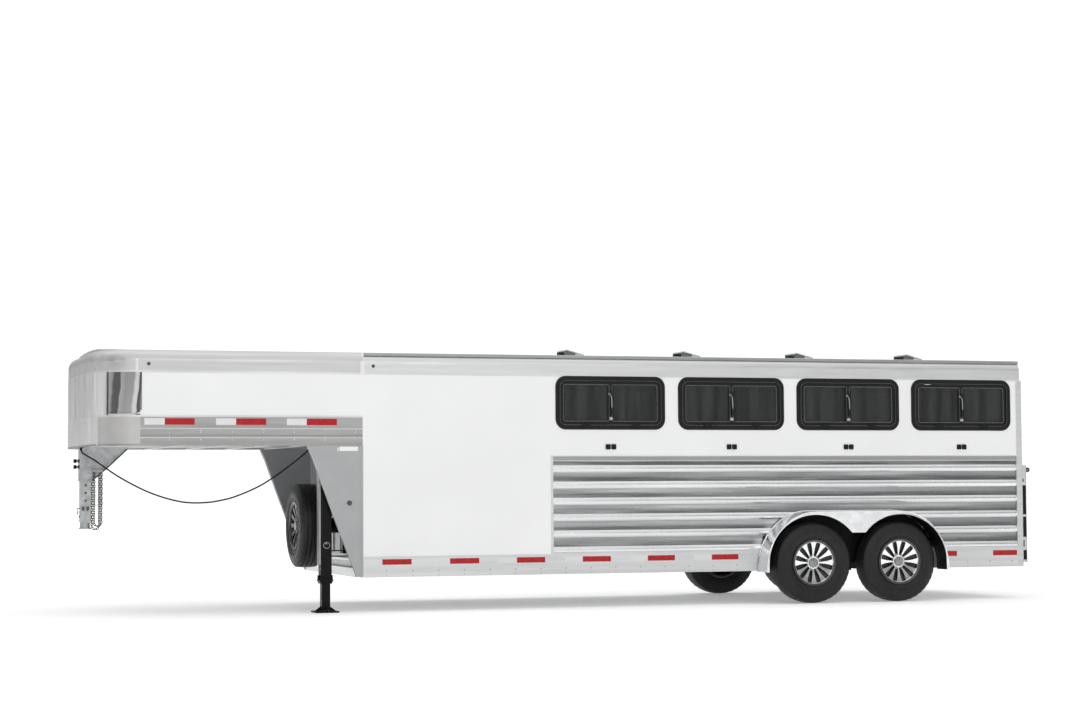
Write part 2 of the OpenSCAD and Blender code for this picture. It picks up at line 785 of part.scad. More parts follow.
module window_glass(i) {
    x = window_x(i);
    light_w = (sash_w - 3 * sash_rail) / 2;
    light_h = sash_h - 2 * sash_rail;
    piece([0.1, 0.1, 0.12, 0.7]) for (s = [-1, 1])
        round_plate(x + s * (light_w + sash_rail) / 2, window_z, light_w, light_h,
            sash_r - sash_rail + 5, sash_y + 12, sash_y + 12 + glass_t);
}

module rear_ramp() {
    ramp_w = body_w - 100;
    top_z = ramp_z + ramp_l;
    skin_x = -5 - ramp_core;
    piece("silver") {
        block([skin_x, 30 - ramp_w / 2, ramp_z + 15], [-5, ramp_w / 2 - 30, top_z - 15]);
        block([skin_x - ramp_skin, -ramp_w / 2, ramp_z], [skin_x, ramp_w / 2, top_z]);
        both_sides() block([-latch_d, ramp_w / 2 - 90, top_z - 70],
            [skin_x - ramp_skin, ramp_w / 2 - 20, top_z - 25]);
        for (y = [-800, 0, 800]) {
            rod_y(-ramp_hinge_d, y - 60, y + 60, ramp_z - 8, hinge_r);
            block([-ramp_hinge_d - hinge_r, y - 60, ramp_z - 8], [-ramp_hinge_d, y + 60, ramp_z + 16]);
        }
    }
}

// A rear door for the driver's side: a leaf with an outside handle near the centre
module rear_leaf() {
    y0 = 4;
    y1 = rear_open_w - door_gap;
    z1 = rear_open_z - door_gap;
    block([2, y0, rear_leaf_z], [2 + leaf_t, y1, z1]);
    block([-20, 60, rear_leaf_z + 180], [2, 90, rear_leaf_z + 440]);
    for (z = [rear_leaf_z + 60, (rear_leaf_z + z1) / 2 - hinge_h / 2, z1 - 60 - hinge_h]) {
        translate([-hinge_d, rear_open_w, z]) cylinder(h = hinge_h, r = hinge_r);
        block([-hinge_d, y1 - 50, z], [2, rear_open_w - 2, z + hinge_h]);
    }
}

module rear_door_left() {
    piece("whitesmoke") rear_leaf();
}

module rear_door_right() {
    piece("whitesmoke") mirror([0, 1, 0]) rear_leaf();
}

side_window_w = 460;
side_window_h = 360;
side_window_r = 50;
side_window_z = 1750;
side_door_z1 = rail_top_z + side_door_h - door_gap;

module side_window(y0, y1) {
    round_plate((side_door_x0 + side_door_x1) / 2, side_window_z, side_window_w, side_window_h,
        side_window_r, y0, y1);
}

module side_door() {
    x0 = side_door_x0 + door_gap;
    x1 = side_door_x1 - door_gap;
    y0 = -half_w - 2;
    piece("white") {
        difference() {
            block([x0, y0, rail_top_z + door_gap], [x1, y0 + leaf_t, side_door_z1]);
            side_window(y0 - 1, y0 + leaf_t + 1);
        }
        block([x0 + 50, y0 - 14, 1180], [x0 + 90, y0, 1320]);
        for (z = [rail_top_z + 150, rail_top_z + side_door_h / 2, side_door_z1 - 150 - hinge_h]) {
            translate([side_door_x1, -half_w - hinge_d, z]) cylinder(h = hinge_h, r = hinge_r);
            block([x1 - 50, -half_w - hinge_d, z], [side_door_x1 - 2, y0 + 2, z + hinge_h]);
        }
    }
}

module side_door_glass() {
    y0 = 10 - half_w;
    piece([0.1, 0.1, 0.12, 0.7]) side_window(y0, y0 + glass_t);
}

floor_frame();
cross_members();
floor_planks();
wheel_wells();
axles();
fenders();
rear_frame();
plank_walls();
upper_panels();
tack_panels();
body_roof_rails();
nose_roof_rail();
roof_skin();
roof_vents();
front_bulkhead();
tack_room_wall();
wing_plates();
nose_rail();
nose_panels();
nose_corners();
nose_floor();
coupler_tube();
coupler_post();
safety_chains();
trailer_cable();
cable_glands();
jack_tube();
jack_leg();
spare_bracket();
spare_tyre();
spare_rim();
marker_lamps();
tail_lamps();
window_frames();
fixed_window_glass();
window_bumpers();
window_sash(0);  // window_sash_1
window_sash(1);  // window_sash_2
window_sash(2);  // window_sash_3
window_sash(3);  // window_sash_4
window_glass(0);  // window_glass_1
window_glass(1);  // window_glass_2
window_glass(2);  // window_glass_3
window_glass(3);  // window_glass_4
rear_ramp();
rear_door_left();
rear_door_right();
side_door();
side_door_glass();
tyre(1, 1);  // tyre_front_left
tyre(1, -1);  // tyre_front_right
tyre(-1, 1);  // tyre_rear_left
tyre(-1, -1);  // tyre_rear_right
rim(1, 1);  // rim_front_left
rim(1, -1);  // rim_front_right
rim(-1, 1);  // rim_rear_left
rim(-1, -1);  // rim_rear_right
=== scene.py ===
"""Looks of a gooseneck livestock trailer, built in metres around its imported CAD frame.

+X points to the hitch, +Y to the driver's side and +Z up. Places come from the CAD nodes' boxes.
"""
import functools
import json
from math import asin, copysign, cos, pi, radians, sin, sqrt

import bmesh
import bpy
from mathutils import Matrix, Vector


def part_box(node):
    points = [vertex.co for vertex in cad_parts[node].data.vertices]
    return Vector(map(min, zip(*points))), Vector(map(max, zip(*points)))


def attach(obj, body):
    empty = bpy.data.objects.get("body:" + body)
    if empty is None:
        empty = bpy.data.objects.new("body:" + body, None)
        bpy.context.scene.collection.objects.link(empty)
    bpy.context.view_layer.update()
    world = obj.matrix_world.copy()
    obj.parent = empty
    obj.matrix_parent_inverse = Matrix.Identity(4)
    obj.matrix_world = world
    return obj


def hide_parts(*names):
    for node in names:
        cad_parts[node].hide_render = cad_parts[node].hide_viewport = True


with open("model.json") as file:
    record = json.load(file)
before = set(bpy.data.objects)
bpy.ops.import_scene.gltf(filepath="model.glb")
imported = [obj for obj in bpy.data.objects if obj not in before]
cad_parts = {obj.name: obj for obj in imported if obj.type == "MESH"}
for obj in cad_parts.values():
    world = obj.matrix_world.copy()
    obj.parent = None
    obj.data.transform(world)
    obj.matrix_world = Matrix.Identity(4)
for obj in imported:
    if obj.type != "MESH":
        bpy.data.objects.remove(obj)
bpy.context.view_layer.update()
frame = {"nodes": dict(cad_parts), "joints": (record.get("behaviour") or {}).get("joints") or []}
JOINTS = {j["name"]: j for j in frame["joints"]}


@functools.lru_cache(None)
def low(node):
    return Vector(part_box(node)[0])


@functools.lru_cache(None)
def high(node):
    return Vector(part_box(node)[1])


def middle(node):
    return (low(node) + high(node)) / 2


# Places that several pieces share
REAR_X = low("rear_frame").x
BODY_X = high("front_bulkhead").x
NOSE_X = high("nose_panels").x
STOCK_X = high("plank_walls").x
SIDE_Y = high("upper_panels").y
RAIL_Z = low("floor_frame").z
RAIL_TOP_Z = high("floor_frame").z
PLANK_TOP_Z = high("plank_walls").z
COVE_Z = low("body_roof_rails").z
NOSE_Z = low("nose_rail").z
NOSE_RAIL_TOP_Z = high("nose_rail").z
NOSE_R = high("nose_corners").x - low("nose_corners").x
CORNER_X = NOSE_X - NOSE_R
WINDOW_X = [middle("window_sash_%d" % i).x for i in (1, 2, 3, 4)]
WINDOW_LOW = low("window_frames")
WINDOW_HIGH = high("window_frames")
WINDOW_H = WINDOW_HIGH.z - WINDOW_LOW.z
WINDOW_W = 2 * (WINDOW_X[0] - WINDOW_LOW.x)
WINDOW_Z = (WINDOW_LOW.z + WINDOW_HIGH.z) / 2


# ---------------------------------------------------------------- camera, floor and light

# Yaw, pitch and roll in degrees, the lens in millimetres, and the eye's place forward of the rear frame
VIEW_TURN = (18.2548, 3.1114, -0.3115)
VIEW_LENS = 78.98
VIEW_EYE = Vector((11.8827, 21.909, 1.1017))


def make_camera():
    """The photograph's camera, a little over a metre above the ground."""
    yaw, pitch, roll = (radians(a) for a in VIEW_TURN)
    forward = Vector((-sin(yaw) * cos(pitch), -cos(yaw) * cos(pitch), sin(pitch)))
    level = Vector((-cos(yaw), sin(yaw), 0))
    up = level.cross(forward)
    right = level * cos(roll) + up * sin(roll)
    top = up * cos(roll) - level * sin(roll)
    data = bpy.data.cameras.new("camera")
    data.sensor_width = 36
    data.lens = VIEW_LENS
    data.clip_end = 500
    camera = bpy.data.objects.new("camera", data)
    bpy.context.collection.objects.link(camera)
    place = Matrix((right, top, -forward)).transposed().to_4x4()
    place.translation = Vector((REAR_X, 0, 0)) + VIEW_EYE
    camera.matrix_world = place
    bpy.context.scene.camera = camera


FLOOR_SIZE = 150
# (distance from the middle, glow) near and far: the floor's own light, which also lightens the trailer's shadow
FLOOR_GLOW = ((5, 0.25), (22, 0.8))


def make_floor():
    size = FLOOR_SIZE
    shape = Shape()
    shape.face([(-size, -size, 0), (size, -size, 0), (size, size, 0), (-size, size, 0)])
    shape.build("floor", "floor", body=None)


def area_light(name, place, target, size, size_y, power):
    data = bpy.data.lights.new(name, "AREA")
    data.shape = "RECTANGLE"
    data.size, data.size_y, data.energy = size, size_y, power
    light = bpy.data.objects.new(name, data)
    bpy.context.collection.objects.link(light)
    light.location = place
    light.rotation_euler = (Vector(target) - Vector(place)).to_track_quat("-Z", "Y").to_euler()


# (height up the sky as a share from nadir to zenith, brightness)
SKY = ((0.0, 0.85), (0.48, 0.75), (0.505, 0.36), (0.56, 0.3), (0.62, 0.55), (0.7, 0.95), (1.0, 1.05))
SKY_POWER = 0.85
BACKDROP_POWER = 1.1
# The flag: an upright dark strip, in degrees round from +X, that leans a little
FLAG_AT, FLAG_HALF, FLAG_LEAN, FLAG_TONE = 32, 11, 0.25, 0.22


def make_world():
    """A white studio, bright above, with a darker band over the horizon and one dark flag for metal to show."""
    world = bpy.data.worlds.new("studio")
    tree = Tree(world)
    tree.nodes.clear()
    way = tree.add("SeparateXYZ", {0: tree.add("TexCoord").outputs["Generated"]}).outputs
    sky = tree.ramp(tree.maths("MULTIPLY_ADD", way["Z"], 0.5, 0.5), SKY)
    lean = tree.maths("MULTIPLY_ADD", way["Z"], FLAG_LEAN, tree.maths("ARCTAN2", way["Y"], way["X"]))
    off = tree.maths("ABSOLUTE", tree.maths("SUBTRACT", lean, radians(FLAG_AT)))
    flag = tree.add("MapRange", {"Value": off, "From Min": radians(FLAG_HALF * 0.7),
                                 "From Max": radians(FLAG_HALF * 1.25), "To Min": FLAG_TONE, "To Max": 1.0},
                    interpolation_type="SMOOTHSTEP").outputs["Result"]
    studio = tree.add("Background", {"Color": sky, "Strength": tree.maths("MULTIPLY", flag, SKY_POWER)})
    seen = tree.add("Background", {"Color": (1, 1, 1, 1), "Strength": BACKDROP_POWER})
    mix = tree.add("MixShader", {"Fac": tree.add("LightPath").outputs["Is Camera Ray"], 1: studio.outputs[0],
                                 2: seen.outputs[0]})
    tree.add("OutputWorld", {"Surface": mix.outputs[0]})
    bpy.context.scene.world = world
    bpy.context.scene.view_settings.view_transform = "Standard"
    area_light("overhead", (0, 0, 9), (0, 0, 0), 18, 10, 260)
    area_light("front_fill", (2, 16, 7), (0, 0, 1.2), 16, 4, 330)


# ---------------------------------------------------------------- materials

class Tree:
    """The nodes of a world or a material, and the steps that build them up."""

    def __init__(self, owner):
        owner.use_nodes = True
        self.nodes, self.links = owner.node_tree.nodes, owner.node_tree.links

    def fill(self, node, inputs):
        """Links an input to a socket, or sets it to a value."""
        for key, value in inputs.items():
            if isinstance(value, bpy.types.NodeSocket):
                self.links.new(value, node.inputs[key])
            else:
                node.inputs[key].default_value = value

    def add(self, kind, inputs=(), **settings):
        node = self.nodes.new("ShaderNode" + kind)
        for key, value in settings.items():
            setattr(node, key, value)
        self.fill(node, dict(inputs))
        return node

    def maths(self, kind, *values):
        return self.add("Math", enumerate(values), operation=kind).outputs[0]

    def place(self):
        return self.add("TexCoord").outputs["Object"]

    def noise(self, scale, detail=4, stretch=(1, 1, 1)):
        """Noise in object coordinates, in features per metre, stretched along the axes."""
        mapping = self.add("Mapping", {"Vector": self.place(), "Scale": stretch})
        inputs = {"Vector": mapping.outputs["Vector"], "Scale": scale, "Detail": detail}
        return self.add("TexNoise", inputs).outputs["Fac"]

    def ramp(self, source, stops):
        """Colours or greys along a 0 to 1 value: stops are (position, colour or grey)."""
        node = self.add("ValToRGB", {"Fac": source})
        elements = node.color_ramp.elements
        while len(elements) < len(stops):
            elements.new(0.5)
        for element, (at, value) in zip(elements, stops):
            element.position = at
            element.color = (*value, 1) if isinstance(value, tuple) else (value, value, value, 1)
        return node.outputs["Color"]

    def between(self, source, a, b, lo=0.35, hi=0.65):
        """A colour or a grey value that runs from a to b as the source runs from lo to hi."""
        return self.ramp(source, ((lo, a), (hi, b)))

    def along(self, offset, weights, hi, wander=0.0):
        """How far a point lies from 0 to hi along a weighted sum of its coordinates less an offset."""
        shift = self.add("VectorMath", {0: self.place(), 1: offset}, operation="SUBTRACT").outputs["Vector"]
        value = self.add("VectorMath", {0: shift, 1: weights}, operation="DOT_PRODUCT").outputs["Value"]
        if wander:
            value = self.maths("MULTIPLY_ADD", self.noise(9, 3), wander, value)
        return self.add("MapRange", {"Value": value, "From Min": 0.0, "From Max": hi}).outputs["Result"]

    def times(self, a, b):
        mix = self.add("Mix", {"Factor": 1.0, "A": a, "B": b}, data_type="RGBA", blend_type="MULTIPLY")
        return mix.outputs["Result"]


class Finish(Tree):
    """A material's nodes round its Principled shader."""

    def __init__(self, name):
        self.material = bpy.data.materials.new(name)
        super().__init__(self.material)
        self.shader = self.nodes["Principled BSDF"]

    def set(self, colour, rough, **more):
        """Names in more are the shader's inputs, with _ for a space."""
        inputs = {key.replace("_", " "): value for key, value in more.items()}
        self.fill(self.shader, {"Base Color": colour, "Roughness": rough, **inputs})

    def bump(self, source, distance):
        bump = self.add("Bump", {"Height": source, "Distance": distance, "Strength": 1.0})
        self.fill(self.shader, {"Normal": bump.outputs["Normal"]})


def floor_material():
    """Pale, with a little light of its own: a dim glow near the trailer that lightens its shadow, and more far
    out, so that the floor meets the white background unseen.
    """
    tree = Finish("studio_floor")
    (near, dim), (far, bright) = FLOOR_GLOW
    distance = tree.add("VectorMath", {0: tree.place()}, operation="LENGTH").outputs["Value"]
    glow = tree.add("MapRange", {"Value": distance, "From Min": near, "From Max": far, "To Min": dim,
                                 "To Max": bright}).outputs["Result"]
    tone = tree.between(tree.noise(0.6, 3), (0.93, 0.93, 0.93), (0.95, 0.95, 0.95))
    tree.set(tone, 0.9, Specular_IOR_Level=0.1, Emission_Color=(1, 1, 1, 1), Emission_Strength=glow)
    return tree.material


def surface(name, colour, vary, rough, metal=0.0, grain=(1, 1, 1), scale=8.0, bump=0.0, coat=0.0,
            bump_scale=None,
            spec=0.5):
    """A finish whose colour and roughness wander a little: colour is its lightest, and rough is (from, to)."""
    tree = Finish(name)
    darker = tuple(c * (1 - vary) for c in colour)
    tree.set(tree.between(tree.noise(scale, 5, grain), darker, colour),
             tree.between(tree.noise(scale * 2.3, 3, grain), *rough), Metallic=metal, Specular_IOR_Level=spec)
    if coat:
        tree.fill(tree.shader, {"Coat Weight": coat, "Coat Roughness": 0.06})
    if bump:
        tree.bump(tree.noise(bump_scale or scale * 4, 3, grain), bump)
    return tree.material


def glass_material():
    tree = Finish("tinted_glass")
    tree.set(tree.between(tree.noise(14, 3, UPRIGHT), (0.022, 0.026, 0.025), (0.048, 0.053, 0.051)),
             tree.between(tree.noise(6, 2), 0.03, 0.07), Alpha=0.82, Specular_IOR_Level=0.5)
    return tree.material


# (position from the panel's edge towards the hitch, grey) of the painted reflection bands on a polished nose
# corner
MIRROR_REFLECTION_TONES = ((0.0, 0.42), (0.07, 0.3), (0.13, 0.1), (0.17, 0.14), (0.2, 0.85), (0.29, 0.8), (0.34, 0.42),
                (0.55, 0.36), (0.68, 0.46), (0.72, 0.12), (0.88, 0.15), (0.93, 0.4), (1.0, 0.45))


def mirror_material():
    """Polished steel with a painted reflection: slanted bands stand for a dark yard and a pale sky round the
    corner, and painted shade darkens its foot a little.
    """
    tree = Finish("mirror_steel")
    bands = tree.ramp(tree.along((CORNER_X, 0, NOSE_RAIL_TOP_Z), (1, 0, 0.09), 0.3, 0.03), MIRROR_REFLECTION_TONES)
    # painted shade: a little darker at the foot of the cover
    shade = tree.ramp(tree.along((0, 0, NOSE_RAIL_TOP_Z), (0, 0, 1), 0.36),
                      ((0.0, 0.8), (0.12, 1.0), (1.0, 0.95)))
    tree.set(tree.times(bands, shade), tree.between(tree.noise(6, 3, UPRIGHT), 0.14, 0.26), Metallic=0.45)
    return tree.material


def plank_material():
    """Plank flats: long brushed streaks under painted shade, well darker than the ribs' same aluminium, darker
    low down and towards the rear.
    """
    tree = Finish("plank_flat_aluminium")
    streaks = tree.between(tree.noise(26, 5, ALONG), (0.5, 0.505, 0.51), (0.8, 0.805, 0.81))
    up = tree.along((0, 0, RAIL_TOP_Z), (0, 0, 1), PLANK_TOP_Z - RAIL_TOP_Z)
    ahead = tree.along((REAR_X, 0, 0), (1, 0, 0), STOCK_X - REAR_X)
    # painted shade: ramps up the wall and along it darken the flats
    shade = tree.times(tree.ramp(up, ((0.0, 0.5), (0.45, 0.57), (1.0, 0.49))),
                       tree.ramp(ahead, ((0.0, 0.71), (0.35, 0.87), (1.0, 1.0))))
    tree.set(tree.times(streaks, shade), tree.between(tree.noise(30, 3, ALONG), 0.18, 0.36), Metallic=1.0)
    tree.bump(tree.noise(6, 3, ALONG), 0.0003)
    return tree.material


def tape_material(name, colour):
    """Reflective tape: fine cells under a clear face."""
    tree = Finish(name)
    cells = tree.add("TexVoronoi", {"Vector": tree.place(), "Scale": 240}).outputs["Distance"]
    tree.set(tree.between(cells, tuple(c * 0.86 for c in colour), colour, 0.1, 0.6),
             tree.between(tree.noise(20, 2), 0.18, 0.3), Specular_IOR_Level=0.3)
    tree.bump(cells, 0.0002)
    return tree.material


ALONG = (0.04, 1, 1)
UPRIGHT = (1, 1, 0.05)
M = {
    "white": surface("white_panel", (0.86, 0.865, 0.865), 0.03, (0.16, 0.24), coat=0.4, scale=1.5, bump=0.0006,
                     bump_scale=1.8),
    "rail": surface("rail_aluminium", (0.8, 0.805, 0.81), 0.08, (0.3, 0.42), 1.0, ALONG, 30, 0.0001),
    "side_rail": surface("side_rail_aluminium", (0.73, 0.735, 0.74), 0.12, (0.32, 0.45), 1.0, ALONG, 24,
                         0.0002),
    "roof_rail": surface("roof_rail_aluminium", (0.68, 0.685, 0.69), 0.08, (0.34, 0.46), 1.0, ALONG, 30,
                         0.0001),
    "nose_rail": surface("nose_rail_aluminium", (0.42, 0.42, 0.415), 0.16, (0.3, 0.42), 1.0, ALONG, 22, 0.0002),
    "nose_roof": surface("nose_roof_aluminium", (0.6, 0.6, 0.6), 0.12, (0.36, 0.5), 0.9, ALONG, 16, 0.0002),
    "casting": surface("corner_casting", (0.54, 0.535, 0.525), 0.06, (0.34, 0.46), 0.9, (1, 1, 1), 10, 0.0002),
    "mirror": mirror_material(),
    "frame": surface("frame_aluminium", (0.66, 0.67, 0.68), 0.15, (0.35, 0.5), 1.0, (1, 1, 1), 12, 0.0003),
    "plank_flat": plank_material(),
    # plank ribs: the flats' same aluminium, left light against the flats' painted shade
    "plank_rib": surface("plank_rib_aluminium", (0.8, 0.81, 0.82), 0.16, (0.16, 0.3), 1.0, ALONG, 14, 0.0003,
                         bump_scale=6),
    # darker aluminium: on the drip rails a painted reflection of dark surroundings; also used on rivets and
    # plank caps
    "rail_dark": surface("drip_rail_aluminium", (0.38, 0.385, 0.39), 0.1, (0.3, 0.45), 1.0, ALONG, 20, 0.0001),
    "machined": surface("machined_face", (0.88, 0.885, 0.89), 0.05, (0.1, 0.2), 1.0, (1, 1, 1), 60, 0.0001),
    "fender": surface("fender_aluminium", (0.82, 0.83, 0.84), 0.06, (0.12, 0.22), 1.0, (1, 1, 1), 5, 0.0004,
                      bump_scale=5),
    # wing plates: aluminium sheet darkened to a mid grey as painted shade
    "wing": surface("wing_sheet", (0.42, 0.425, 0.43), 0.05, (0.34, 0.46), 0.9, (1, 1, 1), 4, 0.0004,
                    bump_scale=4),
    "bulkhead": surface("bulkhead_sheet", (0.52, 0.53, 0.54), 0.12, (0.3, 0.5), 0.8, UPRIGHT, 9, 0.0005),
    "zinc": surface("zinc_steel", (0.52, 0.53, 0.54), 0.28, (0.32, 0.55), 0.9, (1, 1, 1), 18, 0.0005),
    "chain": surface("chain_steel", (0.26, 0.25, 0.235), 0.5, (0.3, 0.5), 0.95, (1, 1, 1), 60, 0.0003),
    "black_paint": surface("black_paint", (0.007, 0.007, 0.008), 0.3, (0.25, 0.45), scale=14, bump=0.0003,
                           spec=0.14),
    "black_frame": surface("black_frame", (0.009, 0.009, 0.01), 0.25, (0.3, 0.45), scale=24, bump=0.0001,
                           spec=0.22),
    "plastic": surface("black_plastic", (0.008, 0.008, 0.009), 0.3, (0.45, 0.65), scale=40, bump=0.0003,
                       spec=0.2),
    "vent": surface("vent_plastic", (0.19, 0.19, 0.195), 0.15, (0.4, 0.6), scale=30, bump=0.0002),
    "rubber": surface("black_rubber", (0.01, 0.01, 0.011), 0.3, (0.5, 0.7), scale=50, bump=0.0003, spec=0.2),
    "tyre": surface("tyre_rubber", (0.012, 0.012, 0.013), 0.4, (0.34, 0.52), scale=22, bump=0.0004, spec=0.36),
    "alloy": surface("wheel_alloy", (0.8, 0.81, 0.83), 0.06, (0.12, 0.24), 1.0, (1, 1, 1), 26, 0.0001),
    "pocket": surface("wheel_pocket", (0.012, 0.012, 0.013), 0.2, (0.25, 0.4), scale=30),
    "flange": surface("rim_flange", (0.1, 0.1, 0.105), 0.2, (0.2, 0.35), 0.9, (1, 1, 1), 26, 0.0001),
    # the spare wheel's alloy: the road wheels' alloy darkened as painted shade
    "dull_alloy": surface("spare_alloy_painted_shade", (0.2, 0.205, 0.21), 0.3, (0.2, 0.4), 1.0, (1, 1, 1), 20, 0.0001),
    "cap": surface("centre_cap", (0.36, 0.365, 0.37), 0.2, (0.25, 0.4), 0.8, scale=30),
    "bead": surface("glazing_bead", (0.1, 0.1, 0.105), 0.2, (0.2, 0.3), scale=30, bump=0.0001),
    "grip": surface("grip_plastic", (0.34, 0.345, 0.35), 0.12, (0.25, 0.4), scale=30, bump=0.0001),
    "vent_lid": surface("vent_lid_plastic", (0.72, 0.72, 0.71), 0.06, (0.35, 0.5), scale=20, bump=0.0002),
    "dark_steel": surface("dark_steel", (0.13, 0.13, 0.135), 0.3, (0.35, 0.55), 0.8, scale=30, bump=0.0003),
    "pale_strip": surface("pale_strip", (0.36, 0.365, 0.37), 0.12, (0.35, 0.5), 0.6, scale=12, bump=0.0002),
    "brushed": surface("brushed_nose_sheet", (0.8, 0.8, 0.8), 0.2, (0.3, 0.45), 0.9, UPRIGHT, 30, 0.00006,
                       bump_scale=40),
    "amber": surface("amber_lens", (0.1, 0.04, 0.01), 0.2, (0.06, 0.14), scale=90, bump=0.0003, coat=0.6),
    "red_lens": surface("red_lens", (0.45, 0.012, 0.01), 0.25, (0.06, 0.14), scale=90, bump=0.0003, coat=0.6),
    "glass": glass_material(),
    "floor": floor_material(),
    "red_tape": tape_material("red_tape", (0.43, 0.012, 0.018)),
    "white_tape": tape_material("white_tape", (0.74, 0.74, 0.74)),
}
# The record's slot that each finish belongs to, unless a piece names another
SLOTS = {finish: slot for slot, finishes in {
    "white_panel": "white",
    "rail_aluminium": "rail side_rail roof_rail nose_rail casting rail_dark machined pale_strip",
    "mirror_steel": "mirror brushed",
    "frame_aluminium": "frame",
    "planks": "plank_flat plank_rib",
    "fender_aluminium": "fender",
    "grey_steel": "wing bulkhead",
    "zinc_steel": "zinc chain dark_steel",
    "black_paint": "black_paint pocket",
    "black_frame": "black_frame bead grip",
    "black_plastic": "plastic",
    "vent_plastic": "vent vent_lid",
    "black_rubber": "rubber",
    "tyre_rubber": "tyre",
    "wheel_alloy": "alloy flange cap",
    "amber_lens": "amber",
    "red_lens": "red_lens",
}.items() for finish in finishes.split()}


# ---------------------------------------------------------------- shapes

class Shape:
    """Points and faces of one piece, added bit by bit, in metres in the shared frame."""

    def __init__(self):
        self.points = []
        self.faces = []

    def add(self, points, faces):
        start = len(self.points)
        self.points += [tuple(p) for p in points]
        self.faces += [[start + i for i in face] for face in faces]

    def face(self, points):
        self.add(points, [range(len(points))])

    def block(self, lo, hi):
        (x0, y0, z0), (x1, y1, z1) = lo, hi
        corners = [(x, y, z) for z in (min(z0, z1), max(z0, z1)) for x, y in
                   ((min(x0, x1), min(y0, y1)), (max(x0, x1), min(y0, y1)),
                    (max(x0, x1), max(y0, y1)), (min(x0, x1), max(y0, y1)))]
        self.add(corners, [(3, 2, 1, 0), (4, 5, 6, 7), (0, 1, 5, 4), (1, 2, 6, 5), (2, 3, 7, 6), (3, 0, 4, 7)])

    def beside(self, sign, lo, hi):
        """A block at one side: the middle numbers are how far out from the side's plane it reaches."""
        (x0, d0, z0), (x1, d1, z1) = lo, hi
        self.block((x0, sign * (SIDE_Y + d0), z0), (x1, sign * (SIDE_Y + d1), z1))

    def extrude(self, outline, offset):
        """A prism from a flat outline of points along a vector."""
        n = len(outline)
        offset = Vector(offset)
        points = [Vector(p) for p in outline] + [Vector(p) + offset for p in outline]
        sides = [(i, (i + 1) % n, n + (i + 1) % n, n + i) for i in range(n)]
        self.add(points, [range(n - 1, -1, -1), range(n, 2 * n)] + sides)

    def rod(self, a, b, r, n=14, r_end=None):
        a, b = Vector(a), Vector(b)
        self.rings([(a, (b - a), r), (b, (b - a), r if r_end is None else r_end)], n)

    def rings(self, stations, n, closed=False):
        """Joins circles, each a (centre, direction, radius), into a tube with ends."""
        points, faces = [], []
        u = None
        for centre, along, r in stations:
            along = Vector(along).normalized()
            if u is None:
                u = along.cross(Vector((0.31, 0.22, 0.92))).normalized()
            u = (u - along * u.dot(along)).normalized()
            v = along.cross(u)
            points += [Vector(centre) + r * (cos(2 * pi * k / n) * u + sin(2 * pi * k / n) * v)
                       for k in range(n)]
        m = len(stations)
        for i in range(m if closed else m - 1):
            for k in range(n):
                a, b = i * n + k, i * n + (k + 1) % n
                c, d = ((i + 1) % m) * n + (k + 1) % n, ((i + 1) % m) * n + k
                faces.append((a, b, c, d))
        if not closed:
            faces += [range(n - 1, -1, -1), range((m - 1) * n, m * n)]
        self.add(points, faces)

    def tube(self, path, r, n=12, closed=False):
        path = [Vector(p) for p in path]
        m = len(path)
        stations = []
        for i, p in enumerate(path):
            before = path[(i - 1) % m] if closed or i else path[0]
            after = path[(i + 1) % m] if closed or i < m - 1 else path[-1]
            stations.append((p, after - before, r))
        self.rings(stations, n, closed)

    def lathe(self, profile, centre, out, n=64, closed=True, wobble=None):
        """Turns (radius, along) points round an axis through centre that points along out."""
        out = Vector(out)
        u = Vector((0, 0, 1)) if abs(out.z) < 0.5 else Vector((1, 0, 0))
        v = out.cross(u)
        m = len(profile)
        points, faces = [], []
        for k in range(n):
            a = 2 * pi * k / n
            way = cos(a) * u + sin(a) * v
            for i, (r, d) in enumerate(profile):
                r = r + (wobble(i, k) if wobble else 0)
                points.append(Vector(centre) + r * way + d * out)
        for k in range(n):
            for i in range(m if closed else m - 1):
                j = (i + 1) % m
                faces.append((k * m + i, k * m + j, ((k + 1) % n) * m + j, ((k + 1) % n) * m + i))
        self.add(points, faces)

    def dome(self, centre, out, r, height, n=8):
        """A low round head, as on a rivet or screw."""
        centre, out = Vector(centre), Vector(out)
        u = out.cross(Vector((0.2, 0.3, 0.9))).normalized()
        v = out.cross(u)
        rings = ((1.0, 0.0), (0.86, 0.55), (0.5, 0.9))
        points = [centre + r * s * (cos(2 * pi * k / n) * u + sin(2 * pi * k / n) * v)
                  + out * height * h for s, h in rings for k in range(n)]
        points.append(centre + out * height)
        faces = [(i * n + k, i * n + (k + 1) % n, (i + 1) * n + (k + 1) % n, (i + 1) * n + k)
                 for i in range(2) for k in range(n)]
        faces += [(2 * n + k, 2 * n + (k + 1) % n, 3 * n) for k in range(n)]
        faces.append(range(n - 1, -1, -1))
        self.add(points, faces)

    def build(self, name, finish, body="trailer", slot=None, bevel=0.0, smooth=35, replaces=()):
        mesh = bpy.data.meshes.new(name)
        mesh.from_pydata(self.points, [], self.faces)
        mesh.validate()
        mesh.update()
        work = bmesh.new()
        work.from_mesh(mesh)
        bmesh.ops.recalc_face_normals(work, faces=work.faces)
        work.to_mesh(mesh)
        work.free()
        for polygon in mesh.polygons:
            polygon.use_smooth = True
        if not bevel:
            mesh.set_sharp_from_angle(angle=radians(smooth))
        piece = bpy.data.objects.new(name, mesh)
        bpy.context.collection.objects.link(piece)
        mesh.materials.append(M[finish])
        if bevel:
            edge = piece.modifiers.new("edges", "BEVEL")
            edge.width = bevel
            edge.segments = 2
            edge.limit_method = "ANGLE"
            edge.harden_normals = True
        if body:
            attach(piece, body)
        slot = slot or SLOTS.get(finish)
        if replaces:
            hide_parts(*replaces)
        return piece


